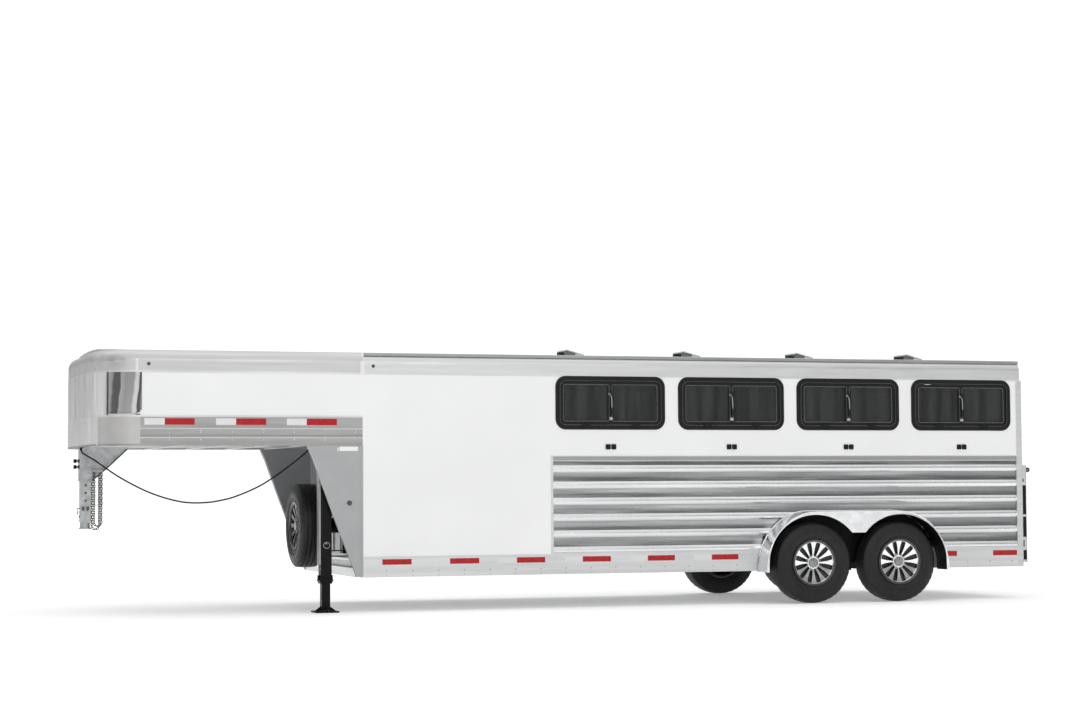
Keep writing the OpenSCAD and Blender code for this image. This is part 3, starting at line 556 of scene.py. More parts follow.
def paint(finish, *names):
    """Gives CAD nodes their finished material."""
    for name in names:
        node = frame["nodes"][name]
        for slot in node.material_slots:
            slot.material = M[finish]
        if not node.material_slots:
            node.data.materials.append(M[finish])


def smooth_route(route, steps):
    """Points on a smooth curve through the route."""
    points = [Vector(p) for p in route]
    out = []
    for i in range(len(points) - 1):
        p0, p1, p2, p3 = (points[max(0, min(len(points) - 1, i + k))] for k in (-1, 0, 1, 2))
        for k in range(steps):
            t = k / steps
            out.append(0.5 * (2 * p1 + (p2 - p0) * t + (2 * p0 - 5 * p1 + 4 * p2 - p3) * t * t
                              + (3 * p1 - p0 - 3 * p2 + p3) * t ** 3))
    return out + [points[-1]]


# ---------------------------------------------------------------- the cable

CABLE_ROUTE = [
    (9.1, 0.15, 1.475), (9.088, 0.156, 1.45), (9.055, 0.168, 1.427), (8.99, 0.192, 1.387),
    (8.923, 0.216, 1.337), (8.804, 0.26, 1.25), (8.685, 0.304, 1.176), (8.565, 0.347, 1.112),
    (8.46, 0.386, 1.066), (8.355, 0.424, 1.03), (8.256, 0.461, 1.005), (8.19, 0.485, 0.995),
    (8.1, 0.519, 0.991), (7.994, 0.558, 0.997), (7.9, 0.592, 1.013), (7.807, 0.627, 1.037),
    (7.69, 0.671, 1.083), (7.568, 0.716, 1.143), (7.475, 0.75, 1.203), (7.38, 0.785, 1.272),
    (7.275, 0.824, 1.356), (7.19, 0.856, 1.43), (7.15, 0.88, 1.475)]
CABLE_D = 0.014


def make_cable():
    route = [(x + REAR_X, y, z) for x, y, z in CABLE_ROUTE]
    path = smooth_route(route, 6)
    shape = Shape()
    shape.tube(path, CABLE_D / 2, 14)
    cable = shape.build("trailer_cable_run", "rubber", replaces=("trailer_cable",))
    glands = Shape()
    for x, y, z in (route[0], route[-1]):
        glands.lathe([(0.0072, -0.004), (0.0105, -0.004), (0.0105, 0.004), (0.013, 0.006), (0.013, 0.021),
                      (0.019, 0.022), (0.019, 0.0249), (0.0072, 0.0249)], (x, y, z), (0, 0, 1), 6)
    glands.build("cable_gland_nuts", "rubber", smooth=30, replaces=("cable_glands",))


# ---------------------------------------------------------------- wheels

TYRE_R = 0.385
GROOVES = (0.059, 0.021)
SIDEWALL = [(0.206, 0.093), (0.214, 0.0965), (0.226, 0.1015), (0.239, 0.1085), (0.243, 0.1125),
            (0.2475, 0.1118), (0.25, 0.11), (0.264, 0.115), (0.278, 0.1168), (0.2795, 0.1158),
            (0.2815, 0.1158), (0.283, 0.1172), (0.3, 0.1175), (0.318, 0.116), (0.334, 0.1125), (0.3355, 0.111),
            (0.3375, 0.111), (0.339, 0.111), (0.35, 0.107), (0.362, 0.102), (0.372, 0.095)]
SPOKES = 12
RIM_SEAT, RIM_LIP = 0.206, 0.222


def crown(y):
    """Radius of the tread at a distance from its middle."""
    return TYRE_R - 0.0055 * (abs(y) / 0.088) ** 2.2


def tread_half():
    """Half of the tread, (radius, across) points from the shoulder to the middle, with its grooves."""
    points = [(crown(0.088), 0.088)]
    for at in GROOVES:
        points += [(crown(at + 0.006), at + 0.006), (crown(at) - 0.009, at + 0.004),
                   (crown(at) - 0.009, at - 0.004), (crown(at - 0.006), at - 0.006)]
    return points


def make_tyre(name, centre, out, body, replaced):
    half = SIDEWALL + tread_half()
    profile = [(r, -y) for r, y in half] + [(r, y) for r, y in reversed(half)]
    shoulder = {i for i, (r, y) in enumerate(profile) if abs(y) > 0.085 and r > 0.355}
    blocks = 156

    def wobble(i, k):
        cut = k % 4 == 0
        if i in shoulder and cut:
            return -0.0035
        return -0.0025 if cut and profile[i][0] > 0.3795 and abs(profile[i][1]) > 0.04 else 0
    shape = Shape()
    shape.lathe(profile, centre, out, blocks, True, wobble)
    shape.build(name, "tyre", body, smooth=38, replaces=(replaced,))


def make_rim(name, centre, out, body, replaced, face="machined"):
    centre, out = Vector(centre), Vector(out)
    up = Vector((0, 0, 1))
    side = out.cross(up)

    def at(r, angle, d, t=0.0):
        way = cos(angle) * up + sin(angle) * side
        across = -sin(angle) * up + cos(angle) * side
        return centre + way * r + across * t + out * d

    barrel = Shape()
    barrel.lathe([(RIM_SEAT, -0.093), (0.2205, -0.1), (RIM_LIP, -0.104), (0.214, -0.105), (0.197, -0.103),
                  (0.193, -0.08), (0.18, -0.06), (0.18, 0.035), (0.192, 0.06), (0.1965, 0.0895), (0.1985, 0.1),
                  (0.2045, 0.106), (0.213, 0.1085), (0.22, 0.108), (0.2225, 0.105), (0.2205, 0.1),
                  (RIM_SEAT, 0.093)], centre, out, 72)
    barrel.build(name, "flange", body, smooth=30, replaces=(replaced,))

    dish = Shape()
    dish.lathe([(0.0, 0.03), (0.07, 0.034), (0.12, 0.046), (0.1925, 0.066), (0.1945, 0.0885), (0.191, 0.0885),
                (0.188, 0.074), (0.12, 0.056), (0.07, 0.046), (0.0, 0.044)], centre, out, 72, False)
    dish.lathe([(0.03, -0.06), (0.15, -0.06), (0.155, -0.092), (0.15, -0.094), (0.142, -0.07), (0.03, -0.068)],
               centre, out, 48)
    dish.build(name + "_dish", "pocket", body, smooth=30)

    # Each spoke is a tapered bar with a machined face and black flanks
    flanks, faces = Shape(), Shape()
    stations = ((0.05, 0.0085, 0.072), (0.075, 0.009, 0.076), (0.11, 0.0125, 0.0815), (0.145, 0.018, 0.0865),
                (0.172, 0.0245, 0.0905), (0.1945, 0.033, 0.0925))
    for i in range(SPOKES):
        angle = 2 * pi * i / SPOKES
        for shape, inset, drop, deep in ((flanks, 0.0, 0.002, 0.03), (faces, 0.0022, 0.0, 0.0022)):
            points = []
            for r, half, d in stations:
                w = half - inset
                points += [at(r, angle, d - drop, -w), at(r, angle, d - drop, w), at(r, angle, d - deep, w),
                           at(r, angle, d - deep, -w)]
            n = len(stations)
            quads = [(4 * s + k, 4 * s + (k + 1) % 4, 4 * s + 4 + (k + 1) % 4, 4 * s + 4 + k)
                     for s in range(n - 1) for k in range(4)]
            shape.add(points, quads + [(3, 2, 1, 0), tuple(range(4 * n - 4, 4 * n))])
    flanks.build(name + "_flanks", "pocket", body)
    faces.build(name + "_spokes", face, body, slot="wheel_alloy", bevel=0.0006)

    ring = Shape()
    ring.lathe([(0.1945, 0.087), (0.1945, 0.0985), (0.196, 0.1), (0.199, 0.1005), (0.199, 0.096)], centre, out,
               72)
    ring.lathe([(0.044, 0.066), (0.06, 0.066), (0.0615, 0.0785), (0.058, 0.081), (0.046, 0.081)], centre, out,
               48)
    ring.build(name + "_rings", "alloy" if face == "machined" else face, body, slot="wheel_alloy", smooth=30)

    cap = Shape()
    cap.lathe([(0.0, 0.06), (0.0445, 0.06), (0.0455, 0.093), (0.0425, 0.0975), (0.03, 0.0985),
               (0.0285, 0.0965), (0.0, 0.0972)], centre, out, 40, False)
    for i in range(8):
        angle = 2 * pi * (i + 0.5) / 8
        where = at(0.07, angle, 0.062)
        cap.rod(where, where + out * 0.024, 0.0095, 6)
        cap.dome(where + out * 0.024, out, 0.008, 0.004, 12)
        cap.lathe([(0.0405, -0.0015), (0.0415, 0.0), (0.0405, 0.0015)], centre + out * (0.094 + 0.0002 * i),
                  out, 24)
    cap.build(name + "_cap", "cap", body, smooth=30)


def make_wheels():
    for along in ("front", "rear"):
        for side, sign in (("left", 1), ("right", -1)):
            tag = along + "_" + side
            spin = JOINTS["wheel_%s_spin" % tag]
            centre, out, body = spin["pos_m"], (0, sign, 0), "wheel_" + tag
            make_tyre("tread_" + tag, centre, out, body, "tyre_" + tag)
            make_rim("wheel_barrel_" + tag, centre, out, body, "rim_" + tag)
    spare = middle("spare_tyre")
    make_tyre("tread_spare", spare, (1, 0, 0), "trailer", "spare_tyre")
    # the spare's spokes and rings take the alloy darkened as painted shade
    make_rim("wheel_barrel_spare", spare, (1, 0, 0), "trailer", "spare_rim", "dull_alloy")


# The wheel arches' radii, and the foot of the skirt between the wheels
ARCH_RX, ARCH_RZ, SKIRT_Z = 0.485, 0.457, 0.672
FENDER_T = 0.014


def fender_line(inset, n=12, start=0, end=90):
    """(x, z) points of the fender's outline from front to rear, inset from its outer surface."""
    lo, hi = low("fenders"), high("fenders")
    foot = lo.z
    front = middle("tyre_front_left").x
    rear = middle("tyre_rear_left").x
    rx, rz = hi.x - front - inset, hi.z - foot - inset
    ahead = [(front + rx * cos(radians(a)), foot + rz * sin(radians(a)))
             for a in (start + (end - start) * i / n for i in range(n + 1))]
    behind = [(rear - rx * cos(radians(a)), foot + rz * sin(radians(a)))
              for a in (end + (start - end) * i / n for i in range(n + 1))]
    return ahead + behind


def arch_line(which, out, z_low):
    """(x, z) points of a wheel arch from one foot to the other, or to the skirt between the wheels."""
    cx, cz = middle("tyre_%s_left" % which).x, middle("tyre_%s_left" % which).z
    skirt = asin((SKIRT_Z - cz) / (ARCH_RZ + out))
    first, last = (0, pi - skirt) if which == "front" else (skirt, pi)
    arc = [(cx + (ARCH_RX + out) * cos(a), cz + (ARCH_RZ + out) * sin(a)) for a in
           (first + (last - first) * i / 40 for i in range(41))]
    foot = (arc[0 if which == "front" else -1][0], z_low)
    return [foot] + arc if which == "front" else arc + [foot]


def make_fenders():
    lo, hi = low("fenders"), high("fenders")
    lip, liner = Shape(), Shape()
    foot = lo.z + 0.004
    for sign in (1, -1):
        y_in, y_out = sign * SIDE_Y, sign * hi.y
        # rolled edges: round the arches, and along the outer corner
        edge = arch_line("front", 0.003, foot) + arch_line("rear", 0.003, foot)
        lip.tube([(x, y_out - sign * 0.004, z) for x, z in edge], 0.006, 8)
        lip.tube([(x, y_out - sign * 0.005, z) for x, z in fender_line(0.005)], 0.0055, 8)
        lip.tube([(x, y_in + sign * 0.005, z) for x, z in fender_line(-0.003)], 0.006, 8)
        inner = fender_line(0.013)
        outer_edge = [(x, y_out - sign * 0.012, z) for x, z in inner]
        liner.add([(x, y_in + sign * 0.001, z) for x, z in inner] + outer_edge,
                  [(i, i + 1, len(inner) + i + 1, len(inner) + i) for i in range(len(inner) - 1)])
    lip.build("fender_rolled_edges", "fender")
    liner.build("fender_liners", "plastic")


# ---------------------------------------------------------------- walls, rails and roof

PLANKS = 6
RIB_OUT = 0.012


def plank_profile():
    """One plank's (distance in from the side's plane, height above its foot as a share of its own height)."""
    rib = [(RIB_OUT * (1 - sin(pi * t) ** 0.55), 0.02 + 0.38 * t) for t in
           (0.02, 0.06, 0.12, 0.2, 0.32, 0.44, 0.56, 0.68, 0.8, 0.88, 0.94, 0.98)]
    flat = [(RIB_OUT + 0.0025 * sin(pi * t), 0.42 + 0.58 * t) for t in (0, 0.12, 0.25, 0.4, 0.55, 0.7, 0.85, 1)]
    return rib, flat


def plank_rows():
    """Rows of (kind, [(depth, z), ...]) from the lower rail up to the upper panels."""
    pitch = (PLANK_TOP_Z - RAIL_TOP_Z) / PLANKS
    rib, flat = plank_profile()
    rows = []
    for i in range(PLANKS):
        z = RAIL_TOP_Z + i * pitch
        rows.append(("rib", [(RIB_OUT, z)] + [(d, z + s * pitch) for d,
                                              s in rib] + [(RIB_OUT, z + 0.42 * pitch)]))
        rows.append(("flat", [(d, z + s * pitch) for d, s in flat]))
    return rows


def well_cut(z):
    """How far from the axle pair's middle the planks start, at a height beside the fender, or None above it."""
    front = middle("tyre_front_left").x
    rear = middle("tyre_rear_left").x
    rx = high("fenders").x - front - FENDER_T
    rz = high("fenders").z - low("fenders").z - FENDER_T
    up = (z - low("fenders").z) / rz
    if up >= 1:
        return None
    return (front - rear) / 2 + rx * sqrt(1 - up * up)


def make_planks():
    x0, x1 = low("plank_walls").x, STOCK_X
    mid = (middle("tyre_front_left").x + middle("tyre_rear_left").x) / 2
    flats, ribs = Shape(), Shape()
    for sign in (1, -1):
        for kind, row in plank_rows():
            shape = flats if kind == "flat" else ribs
            for (d0, z0), (d1, z1) in zip(row, row[1:]):
                ya, yb = sign * (SIDE_Y - d0), sign * (SIDE_Y - d1)
                cut0, cut1 = well_cut(z0), well_cut(z1)
                if cut0 is None:
                    spans = [(x0, x0, x1, x1)]
                else:
                    cut1 = cut1 or 0.45
                    spans = [(x0, x0, mid - cut1, mid - cut0), (mid + cut0, mid + cut1, x1, x1)]
                for a, b, c, d in spans:
                    # a and b are the rear ends at z0 and z1, c and d the front ends at z1 and z0
                    shape.face([(a, ya, z0), (b, yb, z1), (c, yb, z1), (d, ya, z0)])
    lining, trim, cap = Shape(), Shape(), Shape()
    wall = 0.04
    for sign in (1, -1):
        ends = [(x0, low("wheel_wells").x), (high("wheel_wells").x, x1)]
        for a, b in ends:
            lining.block((a, sign * (SIDE_Y - wall), RAIL_TOP_Z),
                         (b, sign * (SIDE_Y - wall + 0.006), PLANK_TOP_Z))
        lining.block((ends[0][1], sign * (SIDE_Y - wall), high("wheel_wells").z),
                     (ends[1][0], sign * (SIDE_Y - wall + 0.006), PLANK_TOP_Z))
        # the trim strip where the planks meet the tack room, and the band above them
        trim.beside(sign, (STOCK_X - 0.004, -0.02, RAIL_TOP_Z), (STOCK_X + 0.018, 0.0035, PLANK_TOP_Z + 0.01))
        cap.beside(sign, (x0, -0.02, PLANK_TOP_Z - 0.044), (STOCK_X, -0.004, PLANK_TOP_Z - 0.002))
        trim.beside(sign, (x0, -0.02, PLANK_TOP_Z - 0.049), (STOCK_X, -0.001, PLANK_TOP_Z - 0.042))
        trim.beside(sign, (x0, -0.02, PLANK_TOP_Z - 0.005), (STOCK_X, 0.0015, PLANK_TOP_Z + 0.003))
        trim.beside(sign, (x0, -0.02, RAIL_TOP_Z - 0.002), (low("wheel_wells").x + 0.02, 0.0015,
                                                            RAIL_TOP_Z + 0.01))
        trim.beside(sign, (high("wheel_wells").x - 0.02, -0.02, RAIL_TOP_Z - 0.002),
                    (STOCK_X, 0.0015, RAIL_TOP_Z + 0.01))
    flats.build("plank_flats", "plank_flat", smooth=50, replaces=("plank_walls",))
    ribs.build("plank_ribs", "plank_rib", smooth=50)
    lining.build("stock_area_lining", "frame")
    trim.build("plank_trim", "side_rail", bevel=0.0015)
    cap.build("plank_caps", "rail_dark", bevel=0.003)


RED, WHITE = "red_tape", "white_tape"
# (colour, from, to) forward of the rear face
RAIL_TAPE = [(RED, 6.245, 6.52), (WHITE, 6.52, 6.7), (RED, 5.605, 5.884), (WHITE, 5.884, 6.062),
             (RED, 4.969, 5.244), (WHITE, 5.244, 5.422), (RED, 4.323, 4.602), (WHITE, 4.602, 4.78),
             (RED, 3.683, 3.957), (WHITE, 3.957, 4.135), (RED, 3.036, 3.31), (WHITE, 3.31, 3.488),
             (RED, 0.054, 0.321), (RED, 0.717, 0.826)]
NOSE_TAPE = [(WHITE, 8.491, 8.67), (RED, 8.225, 8.491), (WHITE, 7.857, 8.036), (RED, 7.584, 7.857),
             (WHITE, 7.216, 7.398), (RED, 6.938, 7.216)]

# Height of the tape's middle, and how tall it is
RAIL_TAPE_Z_H, NOSE_TAPE_Z_H = (0.448, 0.05), (1.712, 0.058)


def make_tape():
    strips = {RED: Shape(), WHITE: Shape()}
    for pieces, z, h in ((RAIL_TAPE, *RAIL_TAPE_Z_H), (NOSE_TAPE, *NOSE_TAPE_Z_H)):
        for colour, a, b in pieces:
            for sign in (1, -1):
                if sign < 0 and z < 1 and not (b < 5.35 or a > 6.21):
                    continue
                strips[colour].beside(sign, (REAR_X + a, 0, z - h / 2), (REAR_X + b - 0.001, 0.0006, z + h / 2))
    for colour, shape in strips.items():
        shape.build(colour + "_strips", colour)


RIVET_PITCH, RIVET_ROWS = 0.245, (0.322, 0.368)
WELD_PITCH, WELD_ROWS = 0.28, (1.565, 1.632)


def make_rivets():
    """Rivet pairs along the rails, and weld marks in pairs on the nose rail."""
    heads, welds = Shape(), Shape()
    wells = (low("fenders").x - REAR_X - 0.02, high("fenders").x - REAR_X + 0.02)
    for sign in (1, -1):
        out = (0, sign, 0)
        x = 0.11
        while x < BODY_X - REAR_X - 0.03:
            if not wells[0] < x < wells[1]:
                for z in RIVET_ROWS:
                    heads.dome((REAR_X + x, sign * SIDE_Y, z), out, 0.007, 0.003)
            x += RIVET_PITCH
        x = BODY_X - REAR_X + 0.07
        while x < CORNER_X - REAR_X:
            for z in WELD_ROWS:
                welds.beside(sign, (REAR_X + x - 0.0075, -0.002, z - 0.019),
                             (REAR_X + x + 0.0075, 0.0035, z + 0.019))
            x += WELD_PITCH
    heads.build("rail_rivets", "rail_dark")
    welds.build("nose_rail_welds", "machined", bevel=0.001)


def round_nose(d, x0=None, n=16):
    """(x, y, outward) points round the nose from the driver's side to the other, d out from its surface."""
    r = NOSE_R + d
    side = SIDE_Y - NOSE_R
    points = []
    if x0 is not None:
        points.append((x0, SIDE_Y + d))
    points += [(CORNER_X + r * sin(a), side + r * cos(a)) for a in
               (pi / 2 * i / n for i in range(n + 1))]
    return points + [(x, -y) for x, y in reversed(points)]


def nose_band(shape, x0, z0, z1, d, depth):
    """A flat band round the nose: d proud of the surface, with its back depth inside it."""
    outer, inner = round_nose(d, x0), round_nose(-depth, x0)
    n = len(outer)
    points = [(x, y, z) for z in (z0, z1) for ring in (outer, inner) for x, y in ring]
    faces = []
    for i in range(n - 1):
        faces += [(i, i + 1, 2 * n + i + 1, 2 * n + i), (n + i, n + i + 1, 3 * n + i + 1, 3 * n + i),
                  (i, i + 1, n + i + 1, n + i), (2 * n + i, 2 * n + i + 1, 3 * n + i + 1, 3 * n + i)]
    faces += [(0, n, 3 * n, 2 * n), (n - 1, 2 * n - 1, 4 * n - 1, 3 * n - 1)]
    shape.add(points, faces)


# The strip over the body's sides, foot and top, and the top of the joiners between body and nose rails
DRIP_Z, JOINER_TOP_Z = (2.314, 2.34), 2.262


def make_rails():
    """Extrusion lines, lips and seams on the rails."""
    lines, drip, seams, lips = Shape(), Shape(), Shape(), Shape()
    # lower edge lip, the lip over the underside, and lines on the nose rail
    nose_band(lips, BODY_X, NOSE_Z, NOSE_Z + 0.014, 0.003, 0.02)
    nose_band(lips, BODY_X, NOSE_Z + 0.016, NOSE_Z + 0.026, 0.0022, 0.02)
    nose_band(lines, BODY_X, NOSE_Z + 0.066, NOSE_Z + 0.073, 0.0012, 0.002)
    nose_band(lines, BODY_X, NOSE_Z + 0.148, NOSE_Z + 0.154, 0.0015, 0.002)
    nose_band(lines, BODY_X, NOSE_RAIL_TOP_Z - 0.012, NOSE_RAIL_TOP_Z + 0.004, 0.003, 0.02)
    nose_band(lines, BODY_X, COVE_Z - 0.006, COVE_Z + 0.012, 0.003, 0.02)
    for sign in (1, -1):
        for z0, z1, d in ((RAIL_Z, RAIL_Z + 0.012, 0.003), (0.379, 0.3845, 0.0015), (0.476, 0.4815, 0.0015)):
            for a, b in ((low("floor_frame").x, low("wheel_wells").x), (high("wheel_wells").x, BODY_X)):
                lines.beside(sign, (a, -0.01, z0), (b, d, z1))
        lines.beside(sign, (REAR_X + 0.002, -0.01, COVE_Z - 0.006), (BODY_X, 0.003, COVE_Z + 0.012))
        lines.beside(sign, (REAR_X + 0.002, -0.01, COVE_Z + 0.02), (BODY_X, 0.0015, COVE_Z + 0.026))
        # drip rails: darker aluminium as a painted reflection of dark surroundings along the roof edge
        drip.block((REAR_X + 0.002, sign * 1.03, DRIP_Z[0]), (BODY_X - 0.02, sign * 1.0585, DRIP_Z[1]))
        seams.block((BODY_X - 0.02, sign * 0.99, COVE_Z - 0.004), (BODY_X + 0.022, sign * 1.0735, JOINER_TOP_Z))
    lines.build("rail_lines", "side_rail", bevel=0.0008)
    lips.build("nose_rail_lips", "nose_rail", bevel=0.0008)
    drip.build("drip_rails", "rail_dark", bevel=0.004)
    seams.build("roof_rail_joiners", "rail", bevel=0.002)


# ---------------------------------------------------------------- windows and doors

def rounded(cx, cz, w, h, r, n=8):
    """(x, z) points round a rectangle with round corners, anticlockwise seen from +Y reversed."""
    points = []
    for sx, sz, start in ((1, 1, 0), (-1, 1, 90), (-1, -1, 180), (1, -1, 270)):
        for i in range(n + 1):
            a = radians(start + 90 * i / n)
            points.append((cx + sx * (w / 2 - r) + r * cos(a), cz + sz * (h / 2 - r) + r * sin(a)))
    return points


def moulded_ring(shape, cx, cz, w, h, r, section, sign):
    """A ring with a moulded section of (inset, outward) points, on the side at sign * SIDE_Y."""
    loops = []
    for inset, d in section:
        loops.append([(x, sign * (SIDE_Y + d), z) for x, z in
                      rounded(cx, cz, w - 2 * inset, h - 2 * inset, max(r - inset, 0.004))])
    n, m = len(loops[0]), len(loops)
    faces = [(i * n + k, i * n + (k + 1) % n, ((i + 1) % m) * n + (k + 1) % n, ((i + 1) % m) * n + k)
             for i in range(m) for k in range(n)]
    shape.add([p for loop in loops for p in loop], faces)


FRAME_SECTION = [(0.0, 0.0), (0.0, 0.004), (0.003, 0.0085), (0.009, 0.01), (0.018, 0.01), (0.022, 0.0075),
                 (0.026, 0.0075), (0.028, 0.0095), (0.042, 0.0095), (0.0445, 0.006), (0.0445, -0.0395),
                 (0.02, -0.0395), (0.02, 0.0)]


def make_windows():
    frames, gasket = Shape(), Shape()
    for x in WINDOW_X:
        for sign in (1, -1):
            moulded_ring(frames, x, WINDOW_Z, WINDOW_W, WINDOW_H, 0.1, FRAME_SECTION, sign)
            moulded_ring(gasket, x, WINDOW_Z, WINDOW_W - 0.0835, WINDOW_H - 0.0835, 0.06,
                         [(0, 0.0103), (0.0018, 0.0108), (0.0036, 0.0103), (0.0036, 0.0092), (0, 0.0092)], sign)
    frames.build("window_surrounds", "black_frame", smooth=30, replaces=("window_frames",))
    gasket.build("window_frame_beads", "bead", smooth=30)
    for i, x in enumerate(WINDOW_X):
        body = "window_%d" % (i + 1)
        lo, hi = low("window_glass_%d" % (i + 1)), high("window_glass_%d" % (i + 1))
        sash_y = SIDE_Y + 0.002
        # gasket beads round the panes, the pull handle, and the knob under it
        beads, handle, knob = Shape(), Shape(), Shape()
        pane_w = (hi.x - lo.x - 0.028) / 2
        for s in (-1, 1):
            moulded_ring(beads, x + s * (pane_w + 0.028) / 2, WINDOW_Z, pane_w + 0.006, hi.z - lo.z + 0.006,
                         0.024, [(0, 0.002), (0, 0.0035), (0.003, 0.0045), (0.006, 0.0035), (0.0075, -0.004),
                                 (0, -0.004)], 1)
        beads.build("sash_beads_%d" % (i + 1), "bead", body, smooth=30)
        grip = smooth_route([(x + 0.01, sash_y, WINDOW_Z + 0.085),
                             (x + 0.008, sash_y + 0.012, WINDOW_Z + 0.082),
                             (x + 0.002, sash_y + 0.0205, WINDOW_Z + 0.062),
                             (x - 0.003, sash_y + 0.0215, WINDOW_Z + 0.02),
                             (x - 0.004, sash_y + 0.0205, WINDOW_Z - 0.03),
                             (x - 0.003, sash_y + 0.014, WINDOW_Z - 0.072),
                             (x - 0.003, sash_y, WINDOW_Z - 0.08)], 5)
        handle.tube(grip, 0.0055, 10)
        for p in (grip[0], grip[-1]):
            handle.lathe([(0.0, -0.001), (0.011, -0.001), (0.011, 0.002), (0.007, 0.004), (0.0, 0.004)], p,
                         (0, 1, 0), 20, False)
        handle.build("sash_handle_%d" % (i + 1), "grip", body)
        knob.lathe([(0.0, -0.001), (0.015, -0.001), (0.015, 0.003), (0.0095, 0.005), (0.0085, 0.012),
                    (0.0125, 0.015), (0.013, 0.019), (0.0105, 0.0215), (0.0, 0.0222)],
                   (x - 0.002, sash_y, WINDOW_Z - 0.147), (0, 1, 0), 28, False)
        knob.build("sash_knob_%d" % (i + 1), "zinc", body, smooth=30)
        mullion = Shape()
        mullion.block((x - 0.032, SIDE_Y - 0.01, lo.z - 0.004), (x + 0.03, SIDE_Y + 0.0018, hi.z + 0.004))
        mullion.build("sash_mullion_%d" % (i + 1), "black_frame", body, bevel=0.001)
    # bumpers with a dished face and a screw each
    pads = Shape()
    lo, hi = low("window_bumpers"), high("window_bumpers")
    size = hi.z - lo.z
    for x in WINDOW_X:
        for s in (-1, 1):
            cx, cz = x + s * 0.0275, (lo.z + hi.z) / 2
            half = size / 2 - 0.0005
            pads.extrude([(px, SIDE_Y, pz) for px, pz in rounded(cx, cz, 2 * half, 2 * half, 0.009, 4)],
                         (0, 0.006, 0))
            pads.extrude([(px, SIDE_Y + 0.006, pz) for px, pz in rounded(cx, cz, 2 * half - 0.008,
                                                                         2 * half - 0.008, 0.008, 4)],
                         (0, 0.0075, 0))
            pads.dome((cx, SIDE_Y + 0.0135, cz), (0, 1, 0), 0.008, 0.001, 12)
    pads.build("window_stop_pads", "rubber", bevel=0.0015, replaces=("window_bumpers",))


def make_vents():
    """Roof vents: a dark base and cheeks under a pale lid that stands open at its front edge; their dark grey
    is partly the vent's own plastic and partly painted shade in the opening under the lid.
    """
    base, lids = Shape(), Shape()
    foot = low("roof_vents").z
    for x in WINDOW_X:
        front, hinge = x + 0.127, x - 0.072
        for y in (-0.122, 0.11):
            base.extrude([(x + 0.02, y, foot), (front, y, foot), (front, y, foot + 0.052),
                          (front - 0.018, y, foot + 0.062), (x + 0.02, y, foot + 0.043)], (0, 0.012, 0))
        base.block((x + 0.02, -0.12, foot - 0.004), (front, 0.12, foot + 0.014))
        base.block((x + 0.022, -0.112, foot), (x + 0.034, 0.112, foot + 0.042))
        lids.extrude([(hinge, -0.124, foot), (x + 0.018, -0.124, foot), (x + 0.018, -0.124, foot + 0.042),
                      (hinge, -0.124, foot + 0.016)], (0, 0.248, 0))
        lids.extrude([(hinge, -0.13, foot + 0.016), (front - 0.012, -0.13, foot + 0.063),
                      (front + 0.002, -0.13, foot + 0.055), (front + 0.002, -0.13, foot + 0.062),
                      (front - 0.018, -0.13, foot + 0.074), (hinge, -0.13, foot + 0.025)], (0, 0.26, 0))
    base.build("roof_vent_bases", "vent", bevel=0.002, replaces=("roof_vents",))
    lids.build("roof_vent_lids", "vent_lid", bevel=0.002)


def make_lamps():
    lamps, bezels = Shape(), Shape()
    lo, hi = low("marker_lamps"), high("marker_lamps")
    z = (lo.z + hi.z) / 2
    for x in (BODY_X - 0.1, CORNER_X - 0.073):
        for sign in (1, -1):
            at, out = (x, sign * SIDE_Y, z), (0, sign, 0)
            bezels.lathe([(0.009, 0.0), (0.015, 0.0), (0.015, 0.003), (0.0125, 0.0055), (0.009, 0.006)], at,
                         out, 28)
            lamps.lathe([(0.0, 0.0), (0.0092, 0.0), (0.0092, 0.008), (0.0075, 0.0105), (0.004, 0.0118),
                         (0.0, 0.012)], at, out, 24, False)
    lamps.build("marker_lenses", "amber", smooth=30, replaces=("marker_lamps",))
    bezels.build("marker_bezels", "rubber", smooth=30)
    tails, rims = Shape(), Shape()
    for z0, z1 in ((0.62, 0.78), (1.5, 1.66)):
        for sign in (1, -1):
            cy, cz = sign * 1.043, (z0 + z1) / 2

            def oval(w, h, x):
                r = w / 2 - 0.0005
                turns = [(end, radians(start + 180 * i / 12)) for end, start in ((1, 0), (-1, 180))
                         for i in range(13)]
                return [(x, cy + r * cos(a), cz + end * (h / 2 - r) + r * sin(a)) for end, a in turns]
            rims.extrude(oval(0.03, z1 - z0, REAR_X), (-0.0055, 0, 0))
            tails.extrude(oval(0.024, z1 - z0 - 0.008, REAR_X - 0.0055), (-0.0045, 0, 0))
            tails.extrude(oval(0.019, z1 - z0 - 0.014, REAR_X - 0.01), (-0.0018, 0, 0))
    tails.build("tail_lenses", "red_lens", bevel=0.0012, replaces=("tail_lamps",))
    rims.build("tail_lamp_rims", "rubber", bevel=0.001)


# ---------------------------------------------------------------- coupler, chains, jack and wing plates

